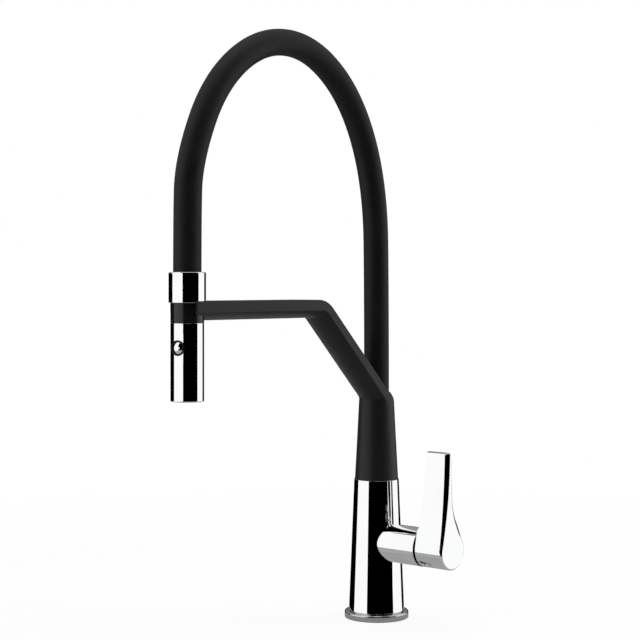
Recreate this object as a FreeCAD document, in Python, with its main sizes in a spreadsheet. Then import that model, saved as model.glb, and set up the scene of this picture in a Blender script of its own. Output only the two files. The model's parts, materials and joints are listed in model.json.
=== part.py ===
import FreeCAD, Part
import math
import os
import Sketcher

# A single-lever kitchen mixer with a pull-out spray head on a covered hose.
# The origin is the centre of the underside, on the sink. +Z is up, the spout
# reaches towards -Y and the lever stands on the +X side. Lengths are in mm.

SIZES = {
    # tapered body shell
    "shell_foot": 25.0,
    "shell_top": 20.2,
    "shell_end": 125.0,
    "shell_wall": 2.2,
    # base ring under the shell, and its seal
    "ring_lip": 4.0,
    "ring_height": 6.0,
    "ring_edge": 1.5,
    "ring_wall": 2.6,
    "step_inset": 1.0,
    "step_height": 0.8,
    "step_spigot": 4.0,
    "spigot_gap": 0.2,
    "seal_inset": 2.5,
    "seal_width": 3.0,
    "seal_height": 2.0,
    # brass core
    "core_base_height": 14.0,
    "core_column": 11.0,
    "seat_face": 12.0,
    "seat_depth": 20.0,
    "seat_lip": 0.5,
    "inlet_offset": 8.0,
    "inlet_radius": 4.46,
    "inlet_depth": 10.0,
    "stud_offset": 13.0,
    "stud_radius": 3.4,
    "stud_depth": 12.0,
    "port_offset": 6.2,
    "port_radius": 2.4,
    "riser_radius": 2.0,
    "port_drop": 2.7,
    "outlet_bore": 4.0,
    # swivel between the core and the spout
    "thrust_height": 4.0,
    "thrust_lip": 2.0,
    "flange_height": 4.0,
    "spigot_radius": 11.5,
    "spigot_rise": 24.6,
    "tip_step": 2.5,
    "tip_height": 18.4,
    "clip_depth": 1.1,
    "clip_lip": 1.4,
    "clip_height": 1.2,
    "clip_shoulder": 0.4,
    "o_ring_width": 2.0,
    "o_ring_rise": 5.4,
    "o_ring_pitch": 7.0,
    "bearing_wall": 2.1,
    "running_fit": 0.05,
    "end_float": 0.15,
    "body_gap": 0.3,
    # cartridge and its side housing, measured along the lever axis
    "lever_height": 68.7,
    "cavity_radius": 10.6,
    "cup_wall": 1.9,
    "bore_room": 1.9,
    "housing_wall": 2.6,
    "housing_lip": 3.7,
    "housing_edge": 0.5,
    "gasket_height": 1.2,
    "gasket_inset": 1.5,
    "cartridge_floor": 8.8,
    "disc_height": 3.0,
    "disc_inset": 0.2,
    "moving_height": 3.45,
    "mixing_wall": 1.4,
    "mixing_depth": 1.6,
    "mixing_drop": 0.6,
    "carrier_room": 2.4,
    "carrier_height": 5.5,
    "flat_inset": 1.2,
    "ball_room": 0.4,
    "yoke_gap": 0.6,
    "yoke_leg": 5.6,
    "slot_height": 16.0,
    "slot_gap": 0.1,
    "pin_inset": 0.9,
    "pivot_cover": 8.0,
    "nut_height": 5.5,
    "nut_lip": 1.4,
    "notch_width": 4.0,
    "notch_reach": 2.4,
    "notch_depth": 2.4,
    "notch_count": 4.0,
    # lever
    "pin_radius": 1.5,
    "stem_width": 6.8,
    "stem_bevel": 0.6,
    "stem_ball": 2.5,
    "stem_neck": 1.7,
    "stem_heel": 2.6,
    "ball_depth": 2.0,
    "ball_reach": 6.0,
    "hub_gap": 1.8,
    "hub_step": 0.2,
    "hub_length": 29.2,
    "hub_rim": 1.2,
    "hub_cavity": 6.0,
    "hub_boss": 6.5,
    "hub_edge": 2.6,
    "boss_gap": 1.5,
    "socket_depth": 15.0,
    "front_lean": 12.1,
    "front_sweep": 430.0,
    "back_lean": 25.2,
    "back_sweep": 46.0,
    "knee_height": 27.0,
    "blade_root": 47.0,
    "blade_back": 1.0,
    "root_inset": 0.8,
    "blade_tip": 86.5,
    "blade_thick": 6.0,
    "tip_round": 2.4,
    "shoulder_sweep": 8.0,
    "shoulder_rise": 0.4,
    "shoulder_run": 0.6,
    "shoulder_height": 7.0,
    "inner_tip": 5.8,
    "inner_foot": 2.2,
    "grub_back": 5.0,
    "grub_radius": 2.5,
    "grub_length": 8.0,
    "key_share": 0.5,
    "plug_radius": 3.2,
    "plug_depth": 3.4,
    # hose and its fittings
    "cover_radius": 11.3,
    "cover_bore": 9.0,
    "water_radius": 7.5,
    "water_bore": 5.2,
    "socket_gap": 1.4,
    "roof_gap": 2.0,
    "roof_wall": 4.0,
    "socket_neck": 12.0,
    "hose_gap": 0.6,
    "barb_length": 16.0,
    "barb_bore": 3.4,
    "hose_seat": 5.9,
    # spout arm and its sleeve
    "reach": 236.5,
    "sleeve_step": 0.55,
    "waist_rise": 37.0,
    "waist_flare": 1.65,
    "neck_step": 0.4,
    "neck_roof": 6.0,
    "bore_clear": 2.0,
    "crown_rise": 10.0,
    "arm_rise": 94.4,
    "arm_depth": 9.1,
    "slope_rise": 9.2,
    "slope_depth": 10.2,
    "keel_depth": 6.6,
    "bend_outer": 26.0,
    "bend_inner": 12.0,
    "keel_overlap": 0.6,
    "keel_root": 14.0,
    "keel_round": 6.0,
    "plate_root": 8.0,
    "fork_gap": 0.31,
    "prong_wall": 1.95,
    "prong_reach": 4.2,
    "prong_round": 0.6,
    "relief_depth": 1.8,
    "relief_gap": 0.4,
    "magnet_radius": 3.2,
    "magnet_height": 3.0,
    # spray head, on its own upright axis
    "head_turn": 11.5,
    "band_radius": 13.34,
    "band_height": 16.0,
    "band_spigot": 4.0,
    "band_plug": 1.8,
    "bead_height": 0.25,
    "bead_width": 1.0,
    "bead_rise": 1.2,
    "collar_step": 1.5,
    "collar_seat": 0.5,
    "collar_height": 24.3,
    "collar_edge_share": 0.30612244898,
    "collar_bevel": 0.4,
    "shell_height": 62.5,
    "head_wall": 1.4,
    "head_edge": 1.0,
    "keeper_rise": 4.9,
    "keeper_drop": 2.1,
    "keeper_wall": 1.7,
    "neck_inset": 1.44,
    "neck_drop": 3.1,
    "tail_radius": 7.0,
    "tail_depth": 16.1,
    "tail_ring": 6.0,
    "tail_gap": 1.0,
    "check_radius": 6.0,
    "check_sink": 1.0,
    "check_height": 11.0,
    "check_rib": 3.6,
    "check_stem": 2.4,
    "check_cup": 2.0,
    "check_well": 4.0,
    "chamber_depth": 5.0,
    "chamber_lip": 1.4,
    "spool_drop": 6.5,
    "spool_radius": 1.6,
    "spool_waist": 0.5,
    "waist_start": 1.0,
    "waist_end": 1.5,
    "spool_tail": 5.0,
    "spool_room": 0.5,
    "pocket_depth": 7.8,
    "bezel_radius": 6.25,
    "bezel_wall": 0.9,
    "bezel_stand": 0.56,
    "bezel_height": 3.7,
    "bezel_edge": 0.4,
    "cap_recess": 0.6,
    "cap_dome": 0.9,
    "cap_roof": 1.0,
    "cap_wall": 0.9,
    "cap_skirt": 2.6,
    "press_travel": 1.5,
    "spring_wire": 0.35,
    "spring_radius": 3.4,
    "face_recess": 0.8,
    "face_height": 3.6,
    "jet_radius": 0.8,
    "jet_count": 14.0,
    "jet_stand": 0.5,
    "aerator_radius": 6.3,
    "aerator_wall": 0.9,
    "aerator_sink": 0.3,
    "insert_sink": 1.0,
    "insert_slots": 8.0,
    "slot_width": 1.2,
    "slot_start": 1.2,
    "slot_wall": 0.8,
    "slot_depth": 2.0,
    "mat_height": 1.4,
}


class Size:
    """A length together with the sheet formula that it comes from."""

    def __init__(self, value, formula):
        self.value = value
        self.formula = formula

    def joined(self, other, sign, value):
        other = as_size(other)
        return Size(value(self.value, other.value), f"({self.formula} {sign} {other.formula})")

    def __add__(self, other):
        return self.joined(other, "+", lambda a, b: a + b)

    def __sub__(self, other):
        return self.joined(other, "-", lambda a, b: a - b)

    def __mul__(self, other):
        return self.joined(other, "*", lambda a, b: a * b)

    def __truediv__(self, other):
        return self.joined(other, "/", lambda a, b: a / b)

    def __radd__(self, other):
        return as_size(other) + self

    def __rsub__(self, other):
        return as_size(other) - self

    def __rmul__(self, other):
        return as_size(other) * self

    def __neg__(self):
        return Size(-self.value, f"(0 - {self.formula})")


def as_size(value):
    """A plain number becomes a Size that holds only that number."""
    if isinstance(value, Size):
        return value
    return Size(float(value), f"{float(value):.9f}")


def sine(angle):
    return Size(math.sin(math.radians(angle.value)), f"sin({angle.formula})")


def cosine(angle):
    return Size(math.cos(math.radians(angle.value)), f"cos({angle.formula})")


def tangent(angle):
    return Size(math.tan(math.radians(angle.value)), f"tan({angle.formula})")


def root(size):
    return Size(math.sqrt(size.value), f"sqrt({size.formula})")


class Sheet:
    """The driving dimensions, kept in a spreadsheet of the document."""

    def __init__(self, document, sizes):
        self.cells = document.addObject("Spreadsheet::Sheet", "Sizes")
        for row, (name, value) in enumerate(sizes.items(), start=1):
            self.cells.set(f"A{row}", name)
            self.cells.set(f"B{row}", str(value))
            self.cells.setAlias(f"B{row}", name)
        document.recompute()

    def __getattr__(self, name):
        return Size(float(self.cells.get(name)), f"Sizes.{name}")


doc = FreeCAD.newDocument("faucet")
d = Sheet(doc, SIZES)


def bind(thing, prop, size):
    """Ties one property to the sheet."""
    size = as_size(size)
    thing.setExpression(prop, size.formula)


def vector(*sizes):
    return FreeCAD.Vector(*[as_size(size).value for size in sizes])


# Body: radii and levels above the sink
SHELL_BASE = d.ring_height + d.step_height
SHELL_BORE = d.shell_foot - d.shell_wall
RING_RADIUS = d.shell_foot + d.ring_lip
RING_SPIGOT = SHELL_BORE - d.spigot_gap
CORE_BASE = RING_SPIGOT - d.ring_wall
SEAL_OUTER = RING_RADIUS - d.seal_inset
SEAL_INNER = SEAL_OUTER - d.seal_width

# Swivel: radii and levels
THRUST_RADIUS = d.shell_top - d.shell_wall - d.running_fit
THRUST_END = d.shell_end + d.end_float
THRUST_FOOT = THRUST_END - d.thrust_height
SPIGOT_END = d.shell_end + d.spigot_rise
TIP_RADIUS = d.spigot_radius - d.tip_step
TIP_END = SPIGOT_END + d.tip_height
TIP_GROOVE = TIP_RADIUS - d.o_ring_width + 2 * d.running_fit
O_RING_LOW = SPIGOT_END + d.o_ring_rise
CLIP_GROOVE = d.spigot_radius - d.clip_depth
CLIP_RADIUS = d.spigot_radius + d.clip_lip
CLIP_FOOT = SPIGOT_END - d.clip_shoulder - d.clip_height
SLEEVE_BORE = d.spigot_radius + d.bearing_wall

# Cartridge: radii, and places along the lever's axis
CARTRIDGE_RADIUS = d.cavity_radius + d.cup_wall
SEAT_RADIUS = CARTRIDGE_RADIUS + d.seat_lip
HOUSING_BORE = CARTRIDGE_RADIUS + d.bore_room
HOUSING_RADIUS = HOUSING_BORE + d.housing_wall
CARRIER_RADIUS = d.cavity_radius - d.carrier_room
CARRIER_FLAT = CARRIER_RADIUS - d.flat_inset
MOVING_RADIUS = CARRIER_RADIUS - d.disc_inset
NUT_BORE = d.cavity_radius - d.nut_lip
GASKET_END = d.seat_face + d.gasket_height
CAVITY_FLOOR = GASKET_END + d.cartridge_floor
MOVING_FOOT = CAVITY_FLOOR + d.disc_height + d.running_fit
CARRIER_FOOT = MOVING_FOOT + d.moving_height
CARRIER_END = CARRIER_FOOT + d.carrier_height
BALL = CARRIER_END - d.ball_depth
PIVOT = BALL + d.ball_reach
CARTRIDGE_END = PIVOT + d.pivot_cover
YOKE_FRONT = CARTRIDGE_END - d.body_gap
NUT_END = CARTRIDGE_END + d.nut_height
HOUSING_END = NUT_END + d.housing_lip

# Lever: places along its axis
HUB_RADIUS = HOUSING_RADIUS - d.hub_step
HUB_FOOT = HOUSING_END + d.hub_gap
HUB_END = HUB_FOOT + d.hub_length
STEM_END = HUB_FOOT + d.socket_depth
GRUB_PLACE = STEM_END - d.grub_back

# Hose fittings and sleeve: levels and radii
SOCKET_FOOT = SPIGOT_END + d.socket_gap
CUP_ROOF = TIP_END + d.roof_gap
SOCKET_ROOF = CUP_ROOF + d.roof_wall
HOSE_FOOT = SOCKET_ROOF + d.socket_neck
HOSE_ROOM = d.cover_radius + d.hose_gap
BORE_END = HOSE_FOOT + d.bore_clear
FORK_RADIUS = d.band_radius + d.fork_gap
ARM_HALF = FORK_RADIUS + d.prong_wall
SLEEVE_NECK = ARM_HALF + d.neck_step
NECK_LEVEL = BORE_END + d.neck_roof
SLEEVE_CROWN = NECK_LEVEL + d.crown_rise

# Arm and spray head: levels down from the arm's top, and radii
ARM_TOP = NECK_LEVEL + d.arm_rise
ARM_SIDE = ARM_TOP - d.arm_depth
FORK_TOP = ARM_TOP - d.relief_depth
SLOPE_TOP = NECK_LEVEL + d.slope_rise
SLOPE_SIDE = SLOPE_TOP - d.slope_depth
MAGNET_LEVEL = (ARM_SIDE + FORK_TOP) / 2
COLLAR_RADIUS = d.band_radius + d.collar_step
COLLAR_EDGE = (COLLAR_RADIUS - HOSE_ROOM) * d.collar_edge_share
COLLAR_FOOT = FORK_TOP + d.collar_seat
COLLAR_TOP = COLLAR_FOOT + d.collar_height
HOSE_HEAD = COLLAR_FOOT + d.hose_seat
BAND_FOOT = COLLAR_FOOT - d.band_height
BAND_END = BAND_FOOT - d.band_spigot
HEAD_BORE = d.band_radius - d.head_wall
HEAD_TOP = BAND_FOOT - d.end_float
HEAD_BOTTOM = BAND_FOOT - d.shell_height
BEAD_FOOT = BAND_END + d.bead_rise
KEEPER_FOOT = BAND_FOOT + d.keeper_rise
KEEPER_TOP = COLLAR_FOOT - d.keeper_drop
VALVE_NECK = HEAD_BORE - d.neck_inset
BAND_BORE = VALVE_NECK + d.running_fit
TAIL_FOOT = COLLAR_FOOT - d.tail_depth
TAIL_RING = TAIL_FOOT + d.tail_ring
TAIL_GROOVE = d.tail_radius - d.o_ring_width + 2 * d.running_fit
SEAT_FLOOR = TAIL_FOOT - d.tail_gap
CHECK_TOP = SEAT_FLOOR - d.check_sink
CHECK_FOOT = CHECK_TOP - d.check_height
SPOOL_LEVEL = CHECK_FOOT - d.spool_drop
FACE_FOOT = HEAD_BOTTOM + d.face_recess
FACE_TOP = FACE_FOOT + d.face_height
MAT_TOP = FACE_TOP + d.mat_height
JET_CIRCLE = (d.aerator_radius + HEAD_BORE) / 2

# Button: places outwards from the head's axis
BEZEL_BORE = d.bezel_radius - d.bezel_wall
BEZEL_FACE = d.band_radius + d.bezel_stand
BEZEL_FOOT = BEZEL_FACE - d.bezel_height
CAP_RIM = BEZEL_FACE - d.cap_recess
CAP_ROOF = CAP_RIM - d.cap_roof
POCKET_FLOOR = CAP_RIM - d.pocket_depth

# Places and turns of the groups of pieces
ALONG_SPOUT = FreeCAD.Rotation(FreeCAD.Vector(0, 0, 1), -90)
HEAD_TURN = FreeCAD.Rotation(FreeCAD.Vector(0, 0, 1), d.head_turn.value)
BUTTON_TURN = HEAD_TURN.multiply(FreeCAD.Rotation(FreeCAD.Vector(1, 0, 0), 90))
UNTURNED = FreeCAD.Rotation()
AT_ORIGIN = (0, 0, 0)
AT_LEVER = (0, 0, d.lever_height)
AT_HEAD = (0, -d.reach, 0)
AT_BUTTON = (0, -d.reach, SPOOL_LEVEL)


def place(thing, base, rotation=UNTURNED):
    thing.Placement = FreeCAD.Placement(vector(*base), rotation)
    for letter, size in zip("xyz", base):
        bind(thing, f"Placement.Base.{letter}", size)


def new_body(label, base=AT_ORIGIN, rotation=UNTURNED):
    body = doc.addObject("PartDesign::Body", label)
    body.Label = label
    place(body, base, rotation)
    return body


class Bend:
    """The piece of outline between two corners is an arc; plus turns left."""

    def __init__(self, radius, left=True):
        self.radius = as_size(radius)
        self.left = left


class Ring:
    """A full circle in a sketch."""

    def __init__(self, across, up, radius):
        self.across = as_size(across)
        self.up = as_size(up)
        self.radius = as_size(radius)


def sketch_on(body, name, plane, lift=0):
    sketch = body.newObject("Sketcher::SketchObject", f"{body.Label}_{name}")
    origin_plane = next(p for p in body.Origin.OriginFeatures if p.Role == plane)
    sketch.AttachmentSupport = [(origin_plane, "")]
    sketch.MapMode = "FlatFace"
    bind(sketch, "AttachmentOffset.Base.z", lift)
    return sketch


def pin(sketch, element, vertex, corner):
    """Holds one point of the sketch at a place that the sheet gives."""
    for kind, size in zip(("DistanceX", "DistanceY"), corner):
        size = as_size(size)
        number = sketch.addConstraint(
            Sketcher.Constraint(kind, -1, 1, element, vertex, size.value))
        sketch.setExpression(f"Constraints[{number}]", size.formula)


def pin_radius(sketch, element, size):
    number = sketch.addConstraint(Sketcher.Constraint("Radius", element, size.value))
    sketch.setExpression(f"Constraints[{number}]", size.formula)


def add_circle(sketch, ring):
    centre = vector(ring.across, ring.up, 0)
    circle = Part.Circle(centre, FreeCAD.Vector(0, 0, 1), ring.radius.value)
    element = sketch.addGeometry(circle, False)
    pin(sketch, element, 3, (ring.across, ring.up))
    pin_radius(sketch, element, ring.radius)


def arc_between(start, end, bend):
    """The short arc from start to end, drawn counter-clockwise."""
    chord = end - start
    radius = bend.radius.value
    reach = math.sqrt(max(radius ** 2 - (chord.Length / 2) ** 2, 0.0))
    left = FreeCAD.Vector(-chord.y, chord.x, 0).normalize()
    centre = (start + end) / 2 + left * (reach if bend.left else -reach)
    first, last = (start, end) if bend.left else (end, start)
    angles = [math.atan2((p - centre).y, (p - centre).x) for p in (first, last)]
    circle = Part.Circle(centre, FreeCAD.Vector(0, 0, 1), radius)
    return Part.ArcOfCircle(circle, angles[0], angles[1])


def add_loop(sketch, corners, closed=True):
    """Lines and arcs through the corners, each corner pinned to the sheet."""
    points = [c for c in corners if not isinstance(c, Bend)]
    bends = {}
    for place_in_list, item in enumerate(corners):
        if isinstance(item, Bend):
            before = sum(not isinstance(c, Bend) for c in corners[:place_in_list])
            bends[before - 1] = item
    count = len(points) if closed else len(points) - 1
    ends = []
    for number in range(count):
        start = vector(*points[number], 0)
        end = vector(*points[(number + 1) % len(points)], 0)
        bend = bends.get(number)
        if bend is None:
            element = sketch.addGeometry(Part.LineSegment(start, end), False)
        else:
            element = sketch.addGeometry(arc_between(start, end, bend), False)
        first, last = (1, 2) if bend is None or bend.left else (2, 1)
        ends.append((element, first, last))
    for number, (element, first, last) in enumerate(ends):
        if number + 1 < count or closed:
            following = ends[(number + 1) % count]
            sketch.addConstraint(
                Sketcher.Constraint("Coincident", element, last, following[0], following[1]))
        pin(sketch, element, first, points[number])
        bend = bends.get(number)
        if bend is not None:
            pin_radius(sketch, element, bend.radius)
    if not closed:
        pin(sketch, ends[-1][0], ends[-1][2], points[-1])


def outline(body, name, plane, loops, lift=0):
    """A sketch of closed loops; each is a list of corners or a Ring."""
    sketch = sketch_on(body, name, plane, lift)
    for loop in loops:
        if isinstance(loop, Ring):
            add_circle(sketch, loop)
        else:
            add_loop(sketch, loop)
    return sketch


def pad(body, sketch, length, back=False, both=False):
    feature = body.newObject("PartDesign::Pad", sketch.Label + "_pad")
    feature.Profile = sketch
    feature.SideType = "Symmetric" if both else "One side"
    feature.Reversed = back
    bind(feature, "Length", length)
    body.Tip = feature
    return feature


def pocket(body, sketch, length, back=False, both=False):
    """Cuts against the sketch's own normal, or along it when back is set."""
    feature = body.newObject("PartDesign::Pocket", sketch.Label + "_pocket")
    feature.Profile = sketch
    feature.SideType = "Symmetric" if both else "One side"
    feature.Reversed = back
    bind(feature, "Length", length)
    body.Tip = feature
    return feature


def revolve(body, name, corners, axis="V_Axis", cut=False):
    """Turns an outline in the XZ plane about the upright or the level axis."""
    sketch = outline(body, name, "XZ_Plane", [corners])
    kind = "PartDesign::Groove" if cut else "PartDesign::Revolution"
    feature = body.newObject(kind, sketch.Label + "_turned")
    feature.Profile = sketch
    feature.ReferenceAxis = (sketch, [axis])
    feature.Angle = 360
    body.Tip = feature
    return feature


CHAMFER = "PartDesign::Chamfer"
FILLET = "PartDesign::Fillet"


def finish_edges(body, name, size, chosen, kind=CHAMFER):
    """Bevels or rounds the edges of the body so far that pass the test."""
    doc.recompute()
    base = body.Tip
    names = [f"Edge{number}" for number, edge in enumerate(base.Shape.Edges, start=1)
             if chosen(edge)]
    feature = body.newObject(kind, f"{body.Label}_{name}")
    feature.Base = (base, names)
    bind(feature, "Radius" if kind == FILLET else "Size", size)
    body.Tip = feature
    return feature


def polar(body, feature, count):
    pattern = body.newObject("PartDesign::PolarPattern", feature.Label + "_ring")
    pattern.Originals = [feature]
    pattern.Axis = (feature.Profile[0], ["N_Axis"])
    pattern.Angle = 360
    bind(pattern, "Occurrences", count)
    body.Tip = pattern
    return pattern


def near(value, size, slack=0.02):
    return abs(value - as_size(size).value) < slack


def is_straight(edge):
    return not edge.Degenerated and isinstance(edge.Curve, Part.Line)


def circle_edge(edge, radius, axis="z", at=None):
    """True for a full circle of that radius, at that height on its axis."""
    if edge.Degenerated or not isinstance(edge.Curve, Part.Circle) or not edge.isClosed():
        return False
    fits = near(edge.Curve.Radius, radius)
    return fits and (at is None or near(getattr(edge.Curve.Center, axis), at))


def tube(label, outer, inner, foot, top, base=AT_ORIGIN, rotation=UNTURNED):
    """A plain upright ring or sleeve."""
    body = new_body(label, base, rotation)
    revolve(body, "wall", [(inner, foot), (outer, foot), (outer, top), (inner, top)])
    return body


def level_tube(label, outer, inner, foot, top):
    """A ring about the lever's axis."""
    body = new_body(label, AT_LEVER)
    revolve(body, "wall", [(foot, inner), (top, inner), (top, outer), (foot, outer)], "H_Axis")
    return body


# Base

def base_ring():
    step = d.shell_foot - d.step_inset
    spigot_top = SHELL_BASE + d.step_spigot
    body = new_body("base_ring")
    revolve(body, "wall", [
        (CORE_BASE, 0), (SEAL_INNER, 0), (SEAL_INNER, d.seal_height),
        (SEAL_OUTER, d.seal_height), (SEAL_OUTER, 0), (RING_RADIUS, 0),
        (RING_RADIUS, d.ring_height), (step, d.ring_height), (step, SHELL_BASE),
        (RING_SPIGOT, SHELL_BASE), (RING_SPIGOT, spigot_top), (CORE_BASE, spigot_top)])
    finish_edges(body, "rim", d.ring_edge,
                lambda e: circle_edge(e, RING_RADIUS, at=d.ring_height))
    return body


def base_seal():
    return tube("base_seal", SEAL_OUTER, SEAL_INNER, 0, d.seal_height)


def body_shell():
    body = new_body("body_shell")
    revolve(body, "cone", [
        (0, SHELL_BASE), (d.shell_foot, SHELL_BASE), (d.shell_top, d.shell_end),
        (0, d.shell_end)])
    housing = outline(body, "housing", "YZ_Plane", [Ring(0, d.lever_height, HOUSING_RADIUS)])
    pad(body, housing, HOUSING_END)
    revolve(body, "hollow", [
        (0, SHELL_BASE), (SHELL_BORE, SHELL_BASE),
        (d.shell_top - d.shell_wall, d.shell_end), (0, d.shell_end)], cut=True)
    bore = outline(body, "bore", "YZ_Plane", [Ring(0, d.lever_height, HOUSING_BORE)])
    pocket(body, bore, HOUSING_END, back=True)
    finish_edges(body, "rim", d.housing_edge,
                lambda e: circle_edge(e, HOUSING_RADIUS, "x", HOUSING_END))
    return body


# Brass core with its ports

def body_core():
    body = new_body("body_core")
    flange = THRUST_RADIUS - d.thrust_lip
    flange_foot = THRUST_FOOT - d.flange_height
    clip_top = CLIP_FOOT + d.clip_height
    corners = [
        (0, 0), (CORE_BASE, 0), (CORE_BASE, d.core_base_height),
        (d.core_column, d.core_base_height), (d.core_column, flange_foot),
        (flange, flange_foot), (flange, THRUST_FOOT), (d.spigot_radius, THRUST_FOOT),
        (d.spigot_radius, CLIP_FOOT), (CLIP_GROOVE, CLIP_FOOT), (CLIP_GROOVE, clip_top),
        (d.spigot_radius, clip_top), (d.spigot_radius, SPIGOT_END), (TIP_RADIUS, SPIGOT_END)]
    for number in range(2):
        foot = O_RING_LOW + number * d.o_ring_pitch
        corners += [
            (TIP_RADIUS, foot), (TIP_GROOVE, foot),
            (TIP_GROOVE, foot + d.o_ring_width), (TIP_RADIUS, foot + d.o_ring_width)]
    corners += [(TIP_RADIUS, TIP_END), (0, TIP_END)]
    revolve(body, "turned", corners)
    seat = outline(body, "seat", "YZ_Plane", [Ring(0, d.lever_height, SEAT_RADIUS)],
                   lift=d.seat_face)
    pad(body, seat, d.seat_depth, back=True)
    studs = outline(body, "studs", "XY_Plane",
                    [Ring(side * d.stud_offset, 0, d.stud_radius) for side in (-1, 1)])
    pocket(body, studs, d.stud_depth, back=True)
    inlets = outline(body, "inlets", "XY_Plane",
                     [Ring(0, side * d.inlet_offset, d.inlet_radius) for side in (-1, 1)])
    pocket(body, inlets, d.inlet_depth, back=True)
    port_height = d.lever_height - d.port_drop
    risers = outline(body, "risers", "XY_Plane",
                     [Ring(0, side * d.port_offset, d.riser_radius) for side in (-1, 1)])
    pocket(body, risers, port_height, back=True)
    ports = outline(body, "ports", "YZ_Plane",
                    [Ring(side * d.port_offset, port_height, d.port_radius)
                     for side in (-1, 1)], lift=d.seat_face)
    pocket(body, ports, d.seat_face + d.port_radius)
    outlet_height = d.lever_height + d.port_offset
    outlet = outline(body, "outlet", "YZ_Plane", [Ring(0, outlet_height, d.port_radius)],
                     lift=d.seat_face)
    pocket(body, outlet, d.seat_face)
    rise = outline(body, "rise", "XY_Plane", [Ring(0, 0, d.outlet_bore)], lift=TIP_END)
    pocket(body, rise, TIP_END - outlet_height + d.outlet_bore)
    return body


def thrust_ring():
    return tube("thrust_ring", THRUST_RADIUS, d.spigot_radius, THRUST_FOOT, THRUST_END)


def spigot_o_ring(number):
    foot = O_RING_LOW + number * d.o_ring_pitch
    label = ("spigot_o_ring_lower", "spigot_o_ring_upper")[number]
    return tube(label, TIP_RADIUS + d.running_fit, TIP_GROOVE, foot, foot + d.o_ring_width)


def retaining_clip():
    return tube("retaining_clip", CLIP_RADIUS, CLIP_GROOVE, CLIP_FOOT,
                CLIP_FOOT + d.clip_height)


# Cartridge

def port_rings():
    """The three ports of the seat, seen along the lever's axis."""
    return [Ring(-d.port_offset, -d.port_drop, d.port_radius),
            Ring(d.port_offset, -d.port_drop, d.port_radius),
            Ring(0, d.port_offset, d.port_radius)]


def ported_disc(label, radius, foot, height):
    body = new_body(label, AT_LEVER)
    plate = outline(body, "plate", "YZ_Plane", [Ring(0, 0, radius)] + port_rings(), lift=foot)
    pad(body, plate, height)
    return body


def port_gasket():
    return ported_disc("port_gasket", SEAT_RADIUS - d.gasket_inset, d.seat_face, d.gasket_height)


def fixed_disc():
    return ported_disc("fixed_disc", d.cavity_radius, CAVITY_FLOOR, d.disc_height)


def cartridge_body():
    body = new_body("cartridge_body", AT_LEVER)
    revolve(body, "cup", [
        (GASKET_END, 0), (CAVITY_FLOOR, 0), (CAVITY_FLOOR, d.cavity_radius),
        (CARTRIDGE_END, d.cavity_radius), (CARTRIDGE_END, CARTRIDGE_RADIUS),
        (GASKET_END, CARTRIDGE_RADIUS)], "H_Axis")
    ports = outline(body, "ports", "YZ_Plane", port_rings(), lift=GASKET_END)
    pocket(body, ports, d.cartridge_floor, back=True)
    return body


def moving_disc():
    body = new_body("moving_disc", AT_LEVER)
    plate = outline(body, "plate", "YZ_Plane", [Ring(0, 0, MOVING_RADIUS)],
                    lift=MOVING_FOOT)
    pad(body, plate, d.moving_height)
    chamber = outline(body, "chamber", "YZ_Plane", [
        Ring(0, -d.mixing_drop, MOVING_RADIUS - d.mixing_wall)], lift=MOVING_FOOT)
    pocket(body, chamber, d.mixing_depth, back=True)
    return body


def disc_carrier():
    flat = CARRIER_FLAT
    reach = root(CARRIER_RADIUS * CARRIER_RADIUS - flat * flat)
    body = new_body("disc_carrier", AT_LEVER)
    plate = outline(body, "plate", "YZ_Plane", [[
        (flat, -reach), (flat, reach), Bend(CARRIER_RADIUS),
        (-flat, reach), (-flat, -reach), Bend(CARRIER_RADIUS)]], lift=CARRIER_FOOT)
    pad(body, plate, d.carrier_height)
    socket = outline(body, "socket", "YZ_Plane", [Ring(0, 0, d.stem_ball + d.ball_room)],
                     lift=CARRIER_END)
    pocket(body, socket, d.stem_ball * 2 - d.body_gap)
    return body


def yoke():
    radius = d.cavity_radius - d.running_fit
    foot = CARRIER_END + d.yoke_gap
    slot = d.stem_width / 2 + d.slot_gap
    leg_gap = CARRIER_FLAT + d.running_fit
    body = new_body("yoke", AT_LEVER)
    plate = outline(body, "plate", "YZ_Plane", [Ring(0, 0, radius)], lift=foot - d.yoke_leg)
    pad(body, plate, YOKE_FRONT - foot + d.yoke_leg)
    between = outline(body, "between", "YZ_Plane", [[
        (-leg_gap, -radius), (leg_gap, -radius), (leg_gap, radius), (-leg_gap, radius)]],
        lift=foot - d.yoke_leg)
    pocket(body, between, d.yoke_leg, back=True)
    opening = outline(body, "slot", "YZ_Plane", [[
        (-slot, -d.slot_height / 2), (slot, -d.slot_height / 2),
        (slot, d.slot_height / 2), (-slot, d.slot_height / 2)]], lift=foot)
    pocket(body, opening, YOKE_FRONT - foot, back=True)
    pin_hole = outline(body, "pin_hole", "XZ_Plane", [Ring(PIVOT, 0, d.pin_radius)])
    pocket(body, pin_hole, radius * 2, both=True)
    return body


def pivot_pin():
    body = new_body("pivot_pin", AT_LEVER)
    section = outline(body, "section", "XZ_Plane", [Ring(PIVOT, 0, d.pin_radius)])
    pad(body, section, (d.cavity_radius - d.pin_inset) * 2, both=True)
    return body


def cartridge_nut():
    body = level_tube("cartridge_nut", HOUSING_BORE, NUT_BORE,
                      CARTRIDGE_END, NUT_END)
    side = d.notch_width / 2
    start = NUT_BORE - d.notch_reach
    end = NUT_BORE + d.notch_reach
    notch = outline(body, "notch", "YZ_Plane", [[
        (start, -side), (end, -side), (end, side), (start, side)]], lift=NUT_END)
    cut = pocket(body, notch, d.notch_depth)
    polar(body, cut, d.notch_count)
    return body


# Lever

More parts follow.
